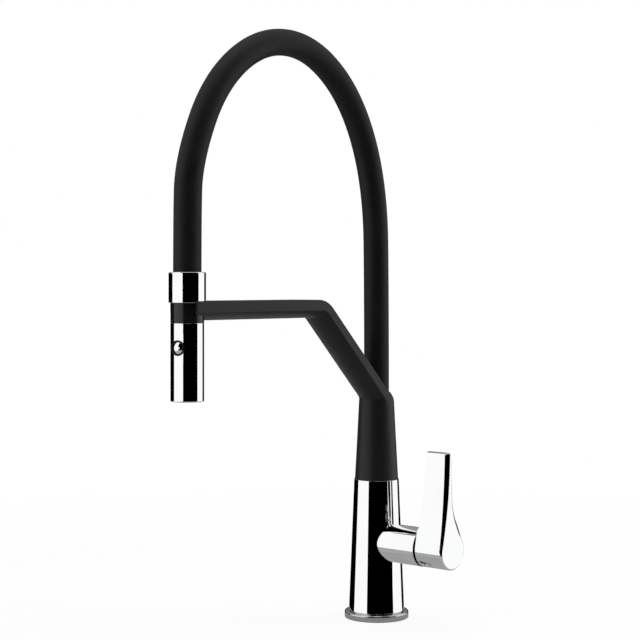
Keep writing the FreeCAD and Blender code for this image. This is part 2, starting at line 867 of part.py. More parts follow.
def stem():
    """A square bar on a pivot, with a ball that pushes the disc carrier."""
    side = d.stem_width / 2
    foot = PIVOT - d.stem_heel
    body = new_body("stem", AT_LEVER)
    square = outline(body, "square", "YZ_Plane", [[
        (-side, -side), (side, -side), (side, side), (-side, side)]], lift=foot)
    pad(body, square, STEM_END - foot)
    neck = outline(body, "neck", "YZ_Plane", [Ring(0, 0, d.stem_neck)], lift=BALL)
    pad(body, neck, foot - BALL)
    revolve(body, "ball", [
        (BALL - d.stem_ball, 0), (BALL + d.stem_ball, 0), Bend(d.stem_ball),
        (BALL, d.stem_ball), Bend(d.stem_ball)], "H_Axis")
    hole = outline(body, "pin_hole", "XZ_Plane",
                   [Ring(PIVOT, 0, d.pin_radius + d.running_fit)])
    pocket(body, hole, d.stem_width, both=True)
    shortest = (STEM_END - foot).value / 2
    finish_edges(body, "corners", d.stem_bevel,
                lambda e: is_straight(e) and e.Length > shortest)
    return body


def lever():
    """Hub and blade in one; the hub is hollow towards the housing."""
    foot = HUB_FOOT
    radius = HUB_RADIUS
    front = (radius * cosine(d.front_lean), radius * sine(d.front_lean))
    back = (-radius * cosine(d.back_lean), radius * sine(d.back_lean))
    knee = (back[0] + (d.knee_height - back[1]) * tangent(d.back_lean), d.knee_height)
    body = new_body("lever", AT_LEVER, ALONG_SPOUT)
    profile = outline(body, "profile", "XZ_Plane", [[
        front, Bend(d.front_sweep, left=False),
        (d.blade_back + d.blade_thick, d.blade_tip), (d.blade_back, d.blade_tip),
        (d.blade_back - d.root_inset, d.blade_root), Bend(d.back_sweep), knee, back,
        Bend(radius), (0, -radius), Bend(radius)]], lift=-foot)
    pad(body, profile, HUB_END - foot, back=True)
    over = d.hub_gap / 2
    low = radius + d.shoulder_rise
    high = d.blade_tip + over
    lean = outline(body, "lean", "YZ_Plane", [[
        (foot - over, low), (foot + d.shoulder_run, low), Bend(d.shoulder_sweep, left=False),
        (foot + d.inner_foot, radius + d.shoulder_height), (foot + d.inner_tip, high),
        (foot - over, high)]])
    pocket(body, lean, radius * 2 + d.hub_gap, both=True)
    cavity = outline(body, "cavity", "XZ_Plane", [
        Ring(0, 0, radius - d.hub_rim), Ring(0, 0, d.hub_boss)], lift=-foot)
    pocket(body, cavity, d.hub_cavity)
    boss = outline(body, "boss", "XZ_Plane", [Ring(0, 0, d.hub_boss + d.boss_gap)], lift=-foot)
    pocket(body, boss, d.boss_gap)
    side = d.stem_width / 2
    socket = outline(body, "socket", "XZ_Plane", [[
        (-side, -side), (side, -side), (side, side), (-side, side)]], lift=-foot)
    pocket(body, socket, STEM_END - foot)
    screw = outline(body, "screw", "YZ_Plane", [Ring(GRUB_PLACE, 0, d.grub_radius)])
    pocket(body, screw, radius + over)
    plug = outline(body, "plug", "YZ_Plane", [Ring(GRUB_PLACE, 0, d.plug_radius)],
                   lift=-radius - over)
    pocket(body, plug, d.plug_depth + over, back=True)
    tip = d.blade_tip.value
    finish_edges(body, "tip", d.tip_round,
                lambda e: is_straight(e) and e.Length > d.hub_length.value / 2
                and all(near(v.Z, tip) for v in e.Vertexes)
                and near(e.Vertexes[0].X, e.Vertexes[1].X), FILLET)
    outer = HUB_END.value
    finish_edges(body, "outer_rim", d.hub_edge,
                lambda e: all(near(v.Y, outer) for v in e.Vertexes), FILLET)
    return body


KEY_SIDES = 6


def grub_screw():
    """The screw that holds the stem, with its hexagon socket."""
    foot = d.stem_width / 2
    body = new_body("grub_screw", (GRUB_PLACE, 0, d.lever_height))
    rod = outline(body, "rod", "XZ_Plane", [Ring(0, 0, d.grub_radius)], lift=-foot)
    pad(body, rod, d.grub_length, back=True)
    across = d.grub_radius * d.key_share
    angles = [as_size(360 / KEY_SIDES * turn) for turn in range(KEY_SIDES)]
    corners = [(across * cosine(angle), across * sine(angle)) for angle in angles]
    key = outline(body, "key", "XZ_Plane", [corners], lift=-foot - d.grub_length)
    pocket(body, key, d.grub_radius, back=True)
    return body


def screw_plug():
    body = new_body("screw_plug", (GRUB_PLACE, 0, d.lever_height))
    foot = HUB_RADIUS - d.plug_depth
    disc = outline(body, "disc", "XZ_Plane", [Ring(0, 0, d.plug_radius)], lift=-foot)
    pad(body, disc, d.plug_depth - d.body_gap, back=True)
    return body


# Spout: the moulded arm with its sleeve and fork

SLOPE_ANGLE = 45


def support_arm():
    """Sleeve, sloping arm, keel and open fork in one moulding, along +X."""
    half = ARM_HALF
    corner_top = ARM_TOP - SLOPE_TOP
    corner_side = ARM_SIDE - SLOPE_SIDE
    half_bend = tangent(as_size(SLOPE_ANGLE / 2))
    diagonal = cosine(as_size(SLOPE_ANGLE))
    body = new_body("support_arm", AT_ORIGIN, ALONG_SPOUT)

    def bend_points(across, up, radius):
        """Where an arc at the bend leaves the slope and meets the level run."""
        run = radius * half_bend
        return (across - run * diagonal, up - run * diagonal), (across + run, up)

    slope_out, level_out = bend_points(corner_top, ARM_TOP, d.bend_outer)
    slope_in, level_in = bend_points(corner_side, ARM_SIDE, d.bend_inner)
    plate_low = NECK_LEVEL - d.plate_root
    keel_low = NECK_LEVEL - d.keel_root
    tips = d.reach + d.prong_reach
    side = outline(body, "side", "XZ_Plane", [[
        (plate_low - SLOPE_SIDE, plate_low), slope_in, Bend(d.bend_inner, left=False),
        level_in, (tips, ARM_SIDE), (tips, ARM_TOP), level_out, Bend(d.bend_outer),
        slope_out, (plate_low - SLOPE_TOP, plate_low)]])
    pad(body, side, half * 2, both=True)

    spine = sketch_on(body, "spine", "XZ_Plane")
    add_loop(spine, [
        (tips, ARM_SIDE), level_in, Bend(d.bend_inner), slope_in,
        (keel_low - SLOPE_SIDE, keel_low)], closed=False)
    keel_radius = (half * half + d.keel_depth * d.keel_depth) / (2 * d.keel_depth)
    section = outline(body, "keel", "YZ_Plane", [[
        (-half, ARM_SIDE), Bend(keel_radius), (half, ARM_SIDE),
        (half, ARM_SIDE + d.keel_overlap), (-half, ARM_SIDE + d.keel_overlap)]],
        lift=tips)
    keel = body.newObject("PartDesign::AdditivePipe", "support_arm_keel_sweep")
    keel.Profile = section
    keel.Spine = (spine, ["Edge1", "Edge2", "Edge3"])
    body.Tip = keel

    wide = half * 2
    trim = outline(body, "plan", "XY_Plane", [
        [(-wide, -wide), (tips + wide, -wide), (tips + wide, wide), (-wide, wide)],
        [(0, -half), (tips, -half), (tips, -FORK_RADIUS), (d.reach, -FORK_RADIUS),
         Bend(FORK_RADIUS, left=False), (d.reach - FORK_RADIUS, 0),
         Bend(FORK_RADIUS, left=False), (d.reach, FORK_RADIUS), (tips, FORK_RADIUS),
         (tips, half), (0, half), Bend(half), (-half, 0), Bend(half)]])
    pocket(body, trim, ARM_TOP + d.keel_depth, back=True)
    finish_edges(body, "tips", d.prong_round,
                lambda e: is_straight(e) and e.Length > d.arm_depth.value / 2
                and all(near(v.X, tips) for v in e.Vertexes)
                and near(e.Vertexes[0].Y, e.Vertexes[1].Y), FILLET)

    foot = d.shell_end + d.body_gap
    waist = SLEEVE_NECK + d.waist_flare
    inset = SLEEVE_NECK - HOSE_ROOM
    crown = (inset * inset + d.crown_rise * d.crown_rise) / (2 * inset)
    revolve(body, "sleeve", [
        (0, foot), (d.shell_top - d.sleeve_step, foot), (waist, d.shell_end + d.waist_rise),
        (SLEEVE_NECK, NECK_LEVEL), Bend(crown), (HOSE_ROOM, SLEEVE_CROWN),
        (0, SLEEVE_CROWN)])

    def meets_sleeve(edge):
        """True for the two halves of the line where the keel runs into the sleeve."""
        box = edge.BoundBox
        level = NECK_LEVEL.value < box.ZMin and box.ZMax < SLEEVE_CROWN.value
        return level and box.XMin > 0 and near(box.YLength, half)

    finish_edges(body, "root", d.keel_round, meets_sleeve, FILLET)
    revolve(body, "bore", [
        (0, foot), (SLEEVE_BORE, foot), (SLEEVE_BORE, BORE_END),
        (HOSE_ROOM, BORE_END), (HOSE_ROOM, ARM_TOP), (0, ARM_TOP)], cut=True)

    relief = COLLAR_RADIUS + d.relief_gap
    over = tips + d.body_gap
    room = outline(body, "relief", "XY_Plane", [[
        (d.reach, -relief), (over, -relief), (over, relief), (d.reach, relief),
        Bend(relief), (d.reach - relief, 0), Bend(relief)]], lift=ARM_TOP)
    pocket(body, room, d.relief_depth)
    magnet = outline(body, "magnet", "YZ_Plane", [
        Ring(0, MAGNET_LEVEL, d.magnet_radius)],
        lift=d.reach - FORK_RADIUS + d.fork_gap)
    pocket(body, magnet, d.magnet_height + d.fork_gap)
    return body


def dock_magnet():
    body = new_body("dock_magnet", AT_ORIGIN, ALONG_SPOUT)
    disc = outline(body, "disc", "YZ_Plane", [
        Ring(0, MAGNET_LEVEL, d.magnet_radius)],
        lift=d.reach - FORK_RADIUS)
    pad(body, disc, d.magnet_height, back=True)
    return body


def bearing_sleeve():
    return tube("bearing_sleeve", SLEEVE_BORE, d.spigot_radius + d.running_fit,
                d.shell_end + 2 * d.end_float,
                CLIP_FOOT - d.end_float)


def hose_socket():
    """Cup that turns on the core's tip, with the barb that holds the hose."""
    body = new_body("hose_socket")
    cup = TIP_RADIUS + 2 * d.running_fit
    barb = d.water_bore - d.running_fit
    revolve(body, "turned", [
        (cup, SOCKET_FOOT), (SLEEVE_BORE, SOCKET_FOOT), (SLEEVE_BORE, SOCKET_ROOF),
        (d.cover_radius, SOCKET_ROOF), (d.cover_radius, HOSE_FOOT),
        (barb, HOSE_FOOT), (barb, HOSE_FOOT + d.barb_length),
        (d.barb_bore, HOSE_FOOT + d.barb_length), (d.barb_bore, CUP_ROOF),
        (cup, CUP_ROOF)])
    return body


# Hose: straight runs joined by tangent arcs, from the sleeve to the head

HOSE_ROUTE = [
    (0, 186), (0, 290), (2, 390), (33, 465), (88, 507), (150, 507), (205, 467),
    (235, 400), (236.5, 352), (236.5, 293)]
ARC_SHARE = 0.45


def hose_path():
    """One wire in the plane of the spout; y falls as the hose reaches out."""
    points = [FreeCAD.Vector(0, -across, up) for across, up in HOSE_ROUTE]
    points[0].z = HOSE_FOOT.value
    points[-1] = vector(0, -d.reach, HOSE_HEAD)
    edges = []
    start = points[0]
    for before, corner, after in zip(points, points[1:], points[2:]):
        arriving = (corner - before).normalize()
        leaving = (after - corner).normalize()
        shorter = min((corner - before).Length, (after - corner).Length)
        turn = arriving.getAngle(leaving)
        radius = ARC_SHARE * shorter / math.tan(turn / 2)
        run = ARC_SHARE * shorter
        first = corner - arriving * run
        last = corner + leaving * run
        inward = (leaving - arriving).normalize()
        middle = corner + inward * (radius / math.cos(turn / 2) - radius)
        edges.append(Part.LineSegment(start, first).toShape())
        edges.append(Part.Arc(first, middle, last).toShape())
        print(f"hose arc at {corner.y:.0f}, {corner.z:.0f}: radius {radius:.0f},"
              f" turn {math.degrees(turn):.0f} degrees")
        start = last
    edges.append(Part.LineSegment(start, points[-1]).toShape())
    return Part.Wire(edges)


def swept_round(path, radius):
    start = path.Edges[0].Vertexes[0].Point
    circle = Part.Wire(Part.makeCircle(radius, start, FreeCAD.Vector(0, 0, 1)))
    return path.makePipe(Part.Face(circle))


def hose(label, outer, inner):
    path = hose_path()
    shape = swept_round(path, outer.value).cut(swept_round(path, inner.value))
    wanted = math.pi * (outer.value ** 2 - inner.value ** 2) * path.Length
    print(f"{label}: {path.Length:.1f} mm long, volume {shape.Volume / wanted:.4f} of section x length")
    feature = doc.addObject("Part::Feature", label)
    feature.Label = label
    feature.Shape = shape
    feature.Placement = FreeCAD.Placement()
    return feature


def hose_cover():
    return hose("hose_cover", d.cover_radius, d.cover_bore)


def water_hose():
    return hose("water_hose", d.water_radius, d.water_bore)


# Hose end: the collar and the tail that the head turns on

def hose_collar():
    body = new_body("hose_collar", AT_HEAD)
    revolve(body, "wall", [
        (HOSE_ROOM, COLLAR_FOOT), (COLLAR_RADIUS, COLLAR_FOOT),
        (COLLAR_RADIUS, COLLAR_TOP), (HOSE_ROOM, COLLAR_TOP)])
    finish_edges(body, "rims", COLLAR_EDGE,
                lambda e: circle_edge(e, COLLAR_RADIUS, at=COLLAR_TOP))
    finish_edges(body, "mouth", COLLAR_EDGE,
                lambda e: circle_edge(e, HOSE_ROOM, at=COLLAR_TOP))
    finish_edges(body, "foot", d.collar_bevel,
                lambda e: circle_edge(e, COLLAR_RADIUS, at=COLLAR_FOOT))
    return body


def hose_tail():
    """Barb above, flange in the collar, plug in the band and a grooved stub in the head."""
    body = new_body("hose_tail", AT_HEAD)
    barb = d.water_bore - d.running_fit
    plug_foot = COLLAR_FOOT - d.band_plug
    revolve(body, "turned", [
        (d.barb_bore, TAIL_FOOT), (d.tail_radius, TAIL_FOOT), (d.tail_radius, TAIL_RING),
        (TAIL_GROOVE, TAIL_RING), (TAIL_GROOVE, TAIL_RING + d.o_ring_width),
        (d.tail_radius, TAIL_RING + d.o_ring_width), (d.tail_radius, plug_foot),
        (BAND_BORE, plug_foot), (BAND_BORE, COLLAR_FOOT),
        (HOSE_ROOM, COLLAR_FOOT), (HOSE_ROOM, HOSE_HEAD), (barb, HOSE_HEAD),
        (barb, HOSE_HEAD + d.barb_length),
        (d.barb_bore, HOSE_HEAD + d.barb_length)])
    return body


def swivel_o_ring():
    return tube("swivel_o_ring", d.tail_radius + d.running_fit, TAIL_GROOVE,
                TAIL_RING, TAIL_RING + d.o_ring_width, AT_HEAD)


# Spray head

def head_band():
    """Black band under the collar. It holds the steel ring, and the shell snaps on its bead."""
    keeper = BAND_BORE + d.keeper_wall
    spigot = HEAD_BORE - d.running_fit
    bead = spigot + d.bead_height
    bead_top = BEAD_FOOT + d.bead_width
    body = new_body("head_band", AT_HEAD)
    revolve(body, "wall", [
        (BAND_BORE, BAND_END), (spigot, BAND_END), (spigot, BEAD_FOOT), (bead, BEAD_FOOT),
        (bead, bead_top), (spigot, bead_top), (spigot, BAND_FOOT), (d.band_radius, BAND_FOOT),
        (d.band_radius, COLLAR_FOOT), (BAND_BORE, COLLAR_FOOT), (BAND_BORE, KEEPER_TOP),
        (keeper, KEEPER_TOP), (keeper, KEEPER_FOOT), (BAND_BORE, KEEPER_FOOT)])
    return body


def keeper_ring():
    return tube("keeper_ring", BAND_BORE + d.keeper_wall, BAND_BORE, KEEPER_FOOT, KEEPER_TOP,
                AT_HEAD)


def head_shell():
    """Chrome sleeve; the groove inside its top snaps over the band's bead and turns on it."""
    groove = HEAD_BORE + d.bead_height + d.running_fit
    groove_foot = BEAD_FOOT - d.end_float
    groove_top = BEAD_FOOT + d.bead_width + d.end_float
    body = new_body("head_shell", AT_HEAD, HEAD_TURN)
    revolve(body, "wall", [
        (HEAD_BORE, HEAD_BOTTOM), (d.band_radius, HEAD_BOTTOM), (d.band_radius, HEAD_TOP),
        (HEAD_BORE, HEAD_TOP), (HEAD_BORE, groove_top), (groove, groove_top),
        (groove, groove_foot), (HEAD_BORE, groove_foot)])
    finish_edges(body, "rim", d.head_edge,
                lambda e: circle_edge(e, d.band_radius, at=HEAD_BOTTOM))
    hole = outline(body, "button_hole", "XZ_Plane",
                   [Ring(0, SPOOL_LEVEL, d.bezel_radius)], lift=BEZEL_FACE)
    pocket(body, hole, BEZEL_FACE)
    return body


def valve_body():
    """Moulded core of the head: swivel seat, water way and button pocket."""
    body = new_body("valve_body", AT_HEAD, HEAD_TURN)
    shoulder = BAND_END - 2 * d.end_float
    seat = d.tail_radius + 2 * d.running_fit
    neck_top = COLLAR_FOOT - d.neck_drop
    chamber = JET_CIRCLE + d.chamber_lip
    chamber_roof = MAT_TOP + d.chamber_depth
    revolve(body, "turned", [
        (chamber, MAT_TOP), (HEAD_BORE, MAT_TOP), (HEAD_BORE, shoulder),
        (VALVE_NECK, shoulder), (VALVE_NECK, neck_top), (seat, neck_top),
        (seat, SEAT_FLOOR), (d.check_radius, SEAT_FLOOR), (d.check_radius, CHECK_FOOT),
        (d.barb_bore, CHECK_FOOT), (d.barb_bore, chamber_roof), (chamber, chamber_roof)])
    hole = outline(body, "pocket", "XZ_Plane", [Ring(0, SPOOL_LEVEL, d.bezel_radius)],
                   lift=BEZEL_FACE)
    pocket(body, hole, BEZEL_FACE - POCKET_FLOOR)
    spool = outline(body, "spool_bore", "XZ_Plane",
                    [Ring(0, SPOOL_LEVEL, d.spool_radius + d.running_fit)], lift=BEZEL_FACE)
    pocket(body, spool, BEZEL_FACE + d.spool_tail + d.press_travel + d.spool_room)
    return body


def check_valve():
    """Spring-loaded insert that stops water from running back."""
    body = new_body("check_valve", AT_HEAD)
    cup = CHECK_FOOT + d.check_cup
    well = CHECK_TOP - d.check_well
    revolve(body, "turned", [
        (0, cup), (d.check_stem, cup), (d.check_stem, CHECK_FOOT),
        (d.check_radius, CHECK_FOOT), (d.check_radius, CHECK_TOP), (d.check_rib, CHECK_TOP),
        (d.check_rib, well), (0, well)])
    return body


def button_bezel():
    body = new_body("button_bezel", AT_BUTTON, BUTTON_TURN)
    revolve(body, "wall", [
        (BEZEL_BORE, BEZEL_FOOT), (d.bezel_radius, BEZEL_FOOT),
        (d.bezel_radius, BEZEL_FACE), (BEZEL_BORE, BEZEL_FACE)])
    finish_edges(body, "rim", d.bezel_edge,
                lambda e: circle_edge(e, d.bezel_radius, at=BEZEL_FACE))
    return body


def button_cap():
    """Domed cap with a skirt; the spool's end sits in its back."""
    radius = BEZEL_BORE - 2 * d.running_fit
    inner = radius - d.cap_wall
    skirt = CAP_RIM - d.cap_skirt
    dome = (radius * radius + d.cap_dome * d.cap_dome) / (2 * d.cap_dome)
    body = new_body("button_cap", AT_BUTTON, BUTTON_TURN)
    revolve(body, "cap", [
        (0, CAP_ROOF), (inner, CAP_ROOF), (inner, skirt), (radius, skirt),
        (radius, CAP_RIM), Bend(dome), (0, CAP_RIM + d.cap_dome)])
    return body


def diverter_spool():
    body = new_body("diverter_spool", AT_BUTTON, BUTTON_TURN)
    rod = d.spool_radius
    waist = rod - d.spool_waist
    revolve(body, "rod", [
        (0, -d.spool_tail), (rod, -d.spool_tail), (rod, -d.waist_start),
        (waist, -d.waist_start), (waist, d.waist_end), (rod, d.waist_end), (rod, CAP_ROOF),
        (0, CAP_ROOF)])
    return body


def button_spring():
    """The coil between the pocket's floor and the cap, as its plain sleeve."""
    return tube("button_spring", d.spring_radius + d.spring_wire,
                d.spring_radius - d.spring_wire, POCKET_FLOOR, CAP_ROOF,
                AT_BUTTON, BUTTON_TURN)


def spray_face():
    """Plate with a ring of jet holes round the aerator."""
    body = new_body("spray_face", AT_HEAD, HEAD_TURN)
    revolve(body, "plate", [
        (d.aerator_radius, FACE_FOOT), (HEAD_BORE, FACE_FOOT), (HEAD_BORE, FACE_TOP),
        (d.aerator_radius, FACE_TOP)])
    hole = outline(body, "jet", "XY_Plane", [Ring(JET_CIRCLE, 0, d.jet_radius)],
                   lift=FACE_FOOT)
    cut = pocket(body, hole, d.face_height, back=True)
    polar(body, cut, d.jet_count)
    return body


def jet_mat():
    """Soft mat whose nozzles pass through the plate."""
    body = new_body("jet_mat", AT_HEAD, HEAD_TURN)
    revolve(body, "mat", [
        (d.aerator_radius, FACE_TOP), (HEAD_BORE, FACE_TOP), (HEAD_BORE, MAT_TOP),
        (d.aerator_radius, MAT_TOP)])
    jet = outline(body, "nozzle", "XY_Plane", [Ring(JET_CIRCLE, 0, d.jet_radius)],
                  lift=FACE_TOP)
    nozzle = pad(body, jet, d.face_height + d.jet_stand, back=True)
    polar(body, nozzle, d.jet_count)
    return body


def aerator_ring():
    return tube("aerator_ring", d.aerator_radius, d.aerator_radius - d.aerator_wall,
                HEAD_BOTTOM + d.aerator_sink, MAT_TOP, AT_HEAD, HEAD_TURN)


def aerator_insert():
    foot = HEAD_BOTTOM + d.insert_sink
    radius = d.aerator_radius - d.aerator_wall
    side = d.slot_width / 2
    slot_end = radius - d.slot_wall
    body = new_body("aerator_insert", AT_HEAD, HEAD_TURN)
    revolve(body, "cup", [(0, foot), (radius, foot), (radius, MAT_TOP), (0, MAT_TOP)])
    slot = outline(body, "slot", "XY_Plane", [[
        (d.slot_start, -side), (slot_end, -side), (slot_end, side), (d.slot_start, side)]],
        lift=foot)
    cut = pocket(body, slot, d.slot_depth, back=True)
    polar(body, cut, d.insert_slots)
    return body


doc.recompute()

MAKERS = [
    base_ring, base_seal, body_shell, body_core, thrust_ring, retaining_clip,
    port_gasket, fixed_disc, cartridge_body, cartridge_nut, yoke, pivot_pin,
    moving_disc, disc_carrier, stem, lever, grub_screw, screw_plug,
    support_arm, dock_magnet, bearing_sleeve, hose_socket, hose_cover, water_hose,
    hose_collar, hose_tail, swivel_o_ring,
    head_band, keeper_ring, head_shell, valve_body, check_valve, button_bezel,
    button_cap, diverter_spool, button_spring, spray_face, jet_mat, aerator_ring,
    aerator_insert]


def checked(pieces):
    """Raises where an object failed, or a sub-part is empty or not valid."""
    for thing in doc.Objects:
        if "Invalid" in thing.State or "Error" in thing.State:
            raise RuntimeError(f"{thing.Label} did not rebuild: {thing.State}")
    for piece in pieces:
        if piece.Shape.isNull() or not piece.Shape.isValid():
            raise RuntimeError(f"{piece.Label} has no valid shape")
    return pieces


pieces = [maker() for maker in MAKERS] + [spigot_o_ring(number) for number in range(2)]
doc.recompute()
os.makedirs("parts", exist_ok=True)
for piece in checked(pieces):
    piece.Shape.exportStep(f"parts/{piece.Label}.step")
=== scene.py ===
"""Looks for a single-lever kitchen faucet with a black hose and a spray head in an open fork.

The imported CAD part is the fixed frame. Each operator makes one piece, or a group of like
pieces, around it. Sizes in the operators are in metres, and mm() brings millimetres to them.
"""

import json
import math

import bmesh
import bpy
from mathutils import Matrix, Vector


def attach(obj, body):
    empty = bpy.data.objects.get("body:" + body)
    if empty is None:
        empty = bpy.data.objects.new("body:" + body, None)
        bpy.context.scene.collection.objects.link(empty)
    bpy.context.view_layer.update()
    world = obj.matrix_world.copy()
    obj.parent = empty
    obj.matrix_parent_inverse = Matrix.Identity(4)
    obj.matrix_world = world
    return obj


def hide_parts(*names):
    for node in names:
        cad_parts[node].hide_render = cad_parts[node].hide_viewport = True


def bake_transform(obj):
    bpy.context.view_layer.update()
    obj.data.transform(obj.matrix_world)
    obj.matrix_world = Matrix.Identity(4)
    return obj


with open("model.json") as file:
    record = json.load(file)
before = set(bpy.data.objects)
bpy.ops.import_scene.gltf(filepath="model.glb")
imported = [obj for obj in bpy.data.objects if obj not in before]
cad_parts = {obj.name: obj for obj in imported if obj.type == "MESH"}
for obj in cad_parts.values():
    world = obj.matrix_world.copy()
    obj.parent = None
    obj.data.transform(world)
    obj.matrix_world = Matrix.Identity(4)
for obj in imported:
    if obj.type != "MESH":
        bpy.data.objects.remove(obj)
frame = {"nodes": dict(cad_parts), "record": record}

bl_info = {
    "name": "Kitchen faucet looks",
    "version": (1, 0, 0),
    "blender": (4, 5, 0),
    "location": "View3D > Sidebar > Faucet",
    "description": "Dresses the CAD faucet with smooth pieces, finishes and a studio",
    "category": "Object",
}

NODES = frame["nodes"]
FULL_TURN = math.tau
# How far a cutting tool reaches past the face that it cuts
PAST = 0.001


def mm(*values):
    """Millimetres to metres: one value, or a tuple of several."""
    return values[0] * 0.001 if len(values) == 1 else tuple(v * 0.001 for v in values)


# Corners closer than this are one corner, in a new mesh and in a CAD node
MERGE = mm(0.001)
NODE_MERGE = mm(0.002)
# Faces of a CAD node that meet flatter than this are one face
FLAT = math.radians(0.4)
# Steps round a large, a small and a tiny shape, and down the button's dome
LARGE_STEPS = 144
SMALL_STEPS = 96
TINY_STEPS = 48
DOME_STEPS = 24
# Roundings of edges that need no size of their own
FINE_EDGE = mm(0.1)
EDGE = mm(0.2)
SOFT_EDGE = mm(0.3)


# What a user may change

def length(name, text, millimetres):
    return bpy.props.FloatProperty(
        name=name, description=text, default=mm(millimetres), min=0, unit="LENGTH")


def colour(name, text, red, green, blue):
    return bpy.props.FloatVectorProperty(
        name=name, description=text, default=(red, green, blue), min=0, max=1,
        size=3, subtype="COLOR")


